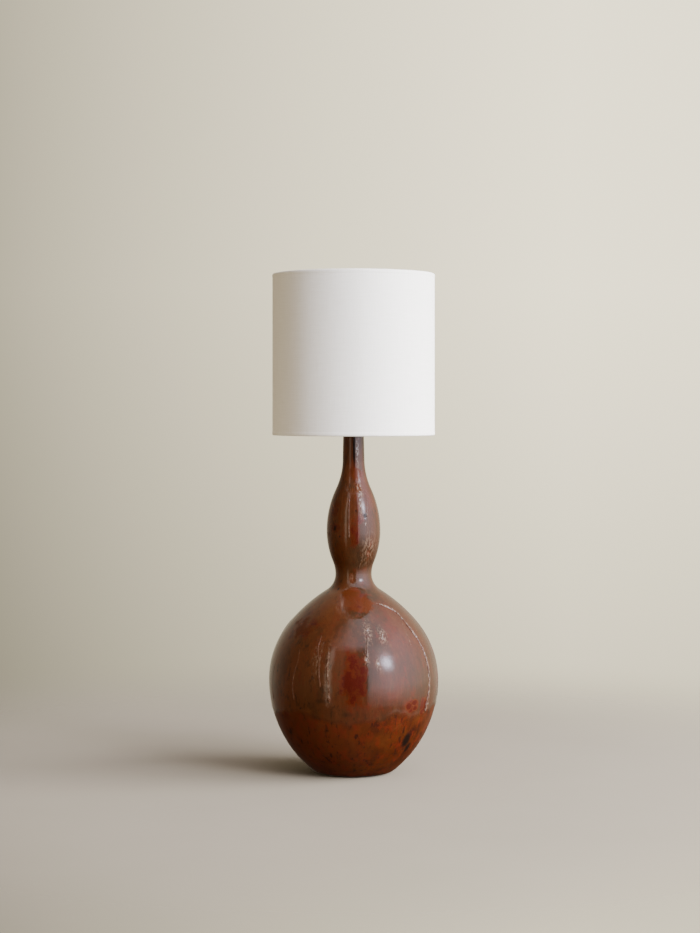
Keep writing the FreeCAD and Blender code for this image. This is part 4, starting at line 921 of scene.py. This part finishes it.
def rolledTube(name, look, thread):
    # sheet metal turned on a profile, its wall swinging in and out with the helix:
    # radius = middle + swing * cos(2 pi height / pitch - angle), inside the threaded stretch
    footRadius, footRise = np.array(look["foot"]).T
    wall = np.arange(look["bottom"] + look["rise"], look["top"], thread["step"])
    radius = np.concatenate([footRadius, np.full(len(wall) + 1, look["radius"])])
    height = np.concatenate([look["bottom"] + footRise, wall, [look["top"]]])
    angle = anglesRound(thread["columns"])
    low, high = look["threaded"]
    blend = np.clip(np.minimum(height - low, high - height) / thread["runOut"] + 0.5, 0, 1)[:, None]
    helix = look["middle"] + look["swing"] * np.cos(2 * np.pi * height[:, None] / thread["pitch"] - angle)
    outer = radius[:, None] * (1 - blend) + helix * blend
    inner = np.maximum(outer - look["thickness"], 0.0)
    # the inner skin of a floor lies one thickness above the outer one
    raised = height + look["thickness"] * (radius < radius.max() - look["thickness"])
    walls = [aroundAxis(outer, angle, height[:, None]), aroundAxis(inner, angle, raised[:, None])[::-1]]
    return gridMesh(name, np.concatenate(walls) * mm, closedAlong=True)


bulbCap = rolledTube("bulb_cap_thread", capLook, threadLook)
screwShell = rolledTube("screw_shell_thread", shellLook, threadLook)
print("threads ready")


# finishes of the hardware that stays as the frame has it

def threadRelief(tree, pitch, depth, low, high):
    # fine helical thread as relief: cos(2 pi z / pitch - angle), between two heights in millimetres
    axes = addNode(tree, "SeparateXYZ", inputs={0: objectPlace(tree)}).outputs
    angle = combine(tree, "ARCTAN2", axes[1], axes[0])
    turn = multiply(tree, axes[2], 2 * math.pi / (pitch * mm))
    wave = combine(tree, "COSINE", combine(tree, "SUBTRACT", turn, angle), 0.0)
    inside = multiply(tree, reach(tree, axes[2], low * mm, (low + 0.2) * mm),
                      reach(tree, axes[2], (high - 0.2) * mm, high * mm, 1.0, 0.0))
    return bumped(tree, multiply(tree, wave, inside), depth)


def worn(tree, grain, roughness, wear):
    return reach(tree, grain, 0.3, 0.7, roughness - wear / 2, roughness + wear / 2)


def metalMaterial(name, dark, light, roughness, grainSize, tall=1.0, thread=None):
    material, tree, shader = newMaterial(name)
    grain = noise(tree, grainSize, 5, 0.65, tall, 1.7)
    tone = between(tree, noise(tree, 14, 3, 0.5, 1.0, 8.2), 0.35, 0.65, dark, light)
    threaded = threadRelief(tree, *thread) if thread else None
    setShader(tree, shader, BaseColor=tone, Metallic=1.0, Roughness=worn(tree, grain, roughness, 0.15),
              Normal=bumped(tree, grain, 0.02, 0.4, threaded))
    return material


def plasticMaterial(name, colour, other, roughness, grainSize, coat=0.0):
    material, tree, shader = newMaterial(name)
    grain = noise(tree, grainSize, 4, 0.6, 1.0, 5.5)
    tone = between(tree, grain, 0.3, 0.7, colour, other)
    setShader(tree, shader, BaseColor=tone, Roughness=worn(tree, grain, roughness, 0.1), IOR=1.5,
              Normal=bumped(tree, grain, 0.02, 0.4), CoatWeight=coat, CoatRoughness=0.1)
    return material


def glassMaterial():
    # silica powder inside the envelope scatters the light, the outside stays glassy
    material, tree, shader = newMaterial("opal coated bulb glass")
    tone = between(tree, noise(tree, 20, 3, 0.5), 0.3, 0.7, "#ecebe6", "#f5f4f0")
    setShader(tree, shader, BaseColor=tone, Roughness=0.35, IOR=1.5, SubsurfaceWeight=0.3, CoatWeight=0.8,
              CoatRoughness=0.05)
    shader.inputs["Subsurface Radius"].default_value = (0.004, 0.004, 0.004)
    return material


# colours of the dark and light places, roughness, grain in millimetres
zincLook = ("#8f9190", "#aeb0ad", 0.38, 2.5)
brassLook = ("#b08a45", "#c9a45c", 0.3, 1.2)
brass = metalMaterial("lacquered spun brass", *brassLook, 0.4)
finishes = {
    "glaze": glaze,
    "plated_steel": metalMaterial("zinc plated steel", *zincLook),
    "brass": brass,
    "bush_plastic": plasticMaterial("moulded polyamide", "#141311", "#1d1b18", 0.55, 0.8),
    "insulating_card": plasticMaterial("pressed fibre board", "#5a4630", "#6b553b", 0.85, 1.5),
    "phenolic": plasticMaterial("moulded phenolic", "#14100d", "#1e1713", 0.4, 3.0),
    "knob_plastic": plasticMaterial("polished moulded phenolic", "#100d0b", "#17120f", 0.2, 6.0, 0.5),
    "bulb_glaze": plasticMaterial("black vitrite glass", "#0b0c10", "#15161b", 0.12, 2.0, 0.6),
    "bulb_metal": metalMaterial("bright aluminium bulb cap", "#cdccc8", "#dedddb", 0.25, 1.0),
    "bulb_glass": glassMaterial(),
    "liner_plastic": plasticMaterial("satin styrene lining", "#dcd9d1", "#e6e3db", 0.5, 30.0),
    "shade_fabric": cloth,
    "shade_wire": plasticMaterial("white stove enamel on wire", "#dedbd2", "#e8e5dd", 0.35, 4.0, 0.3),
}
# fine threads on the pipe and on the stud: thread pitch, depth, from and to which height
threadedFinishes = {
    "lamp_pipe": metalMaterial("threaded steel pipe", *zincLook, thread=(0.94, 0.35, 8.0, 552.0)),
    "shade_stud": metalMaterial("threaded brass stud", *brassLook, thread=(0.94, 0.35, 755.3, 767.0)),
}
for part in frame["record"]["subparts"]:
    material = threadedFinishes.get(part["node"]) or finishes.get(part["material_slot"])
    if material:
        for place in nodes[part["node"]].material_slots:
            place.material = material
finish(bulbCap, finishes["bulb_metal"], "bulb")
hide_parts("bulb_cap")
finish(screwShell, brass, "base")
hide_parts("screw_shell")
print("finishes ready")
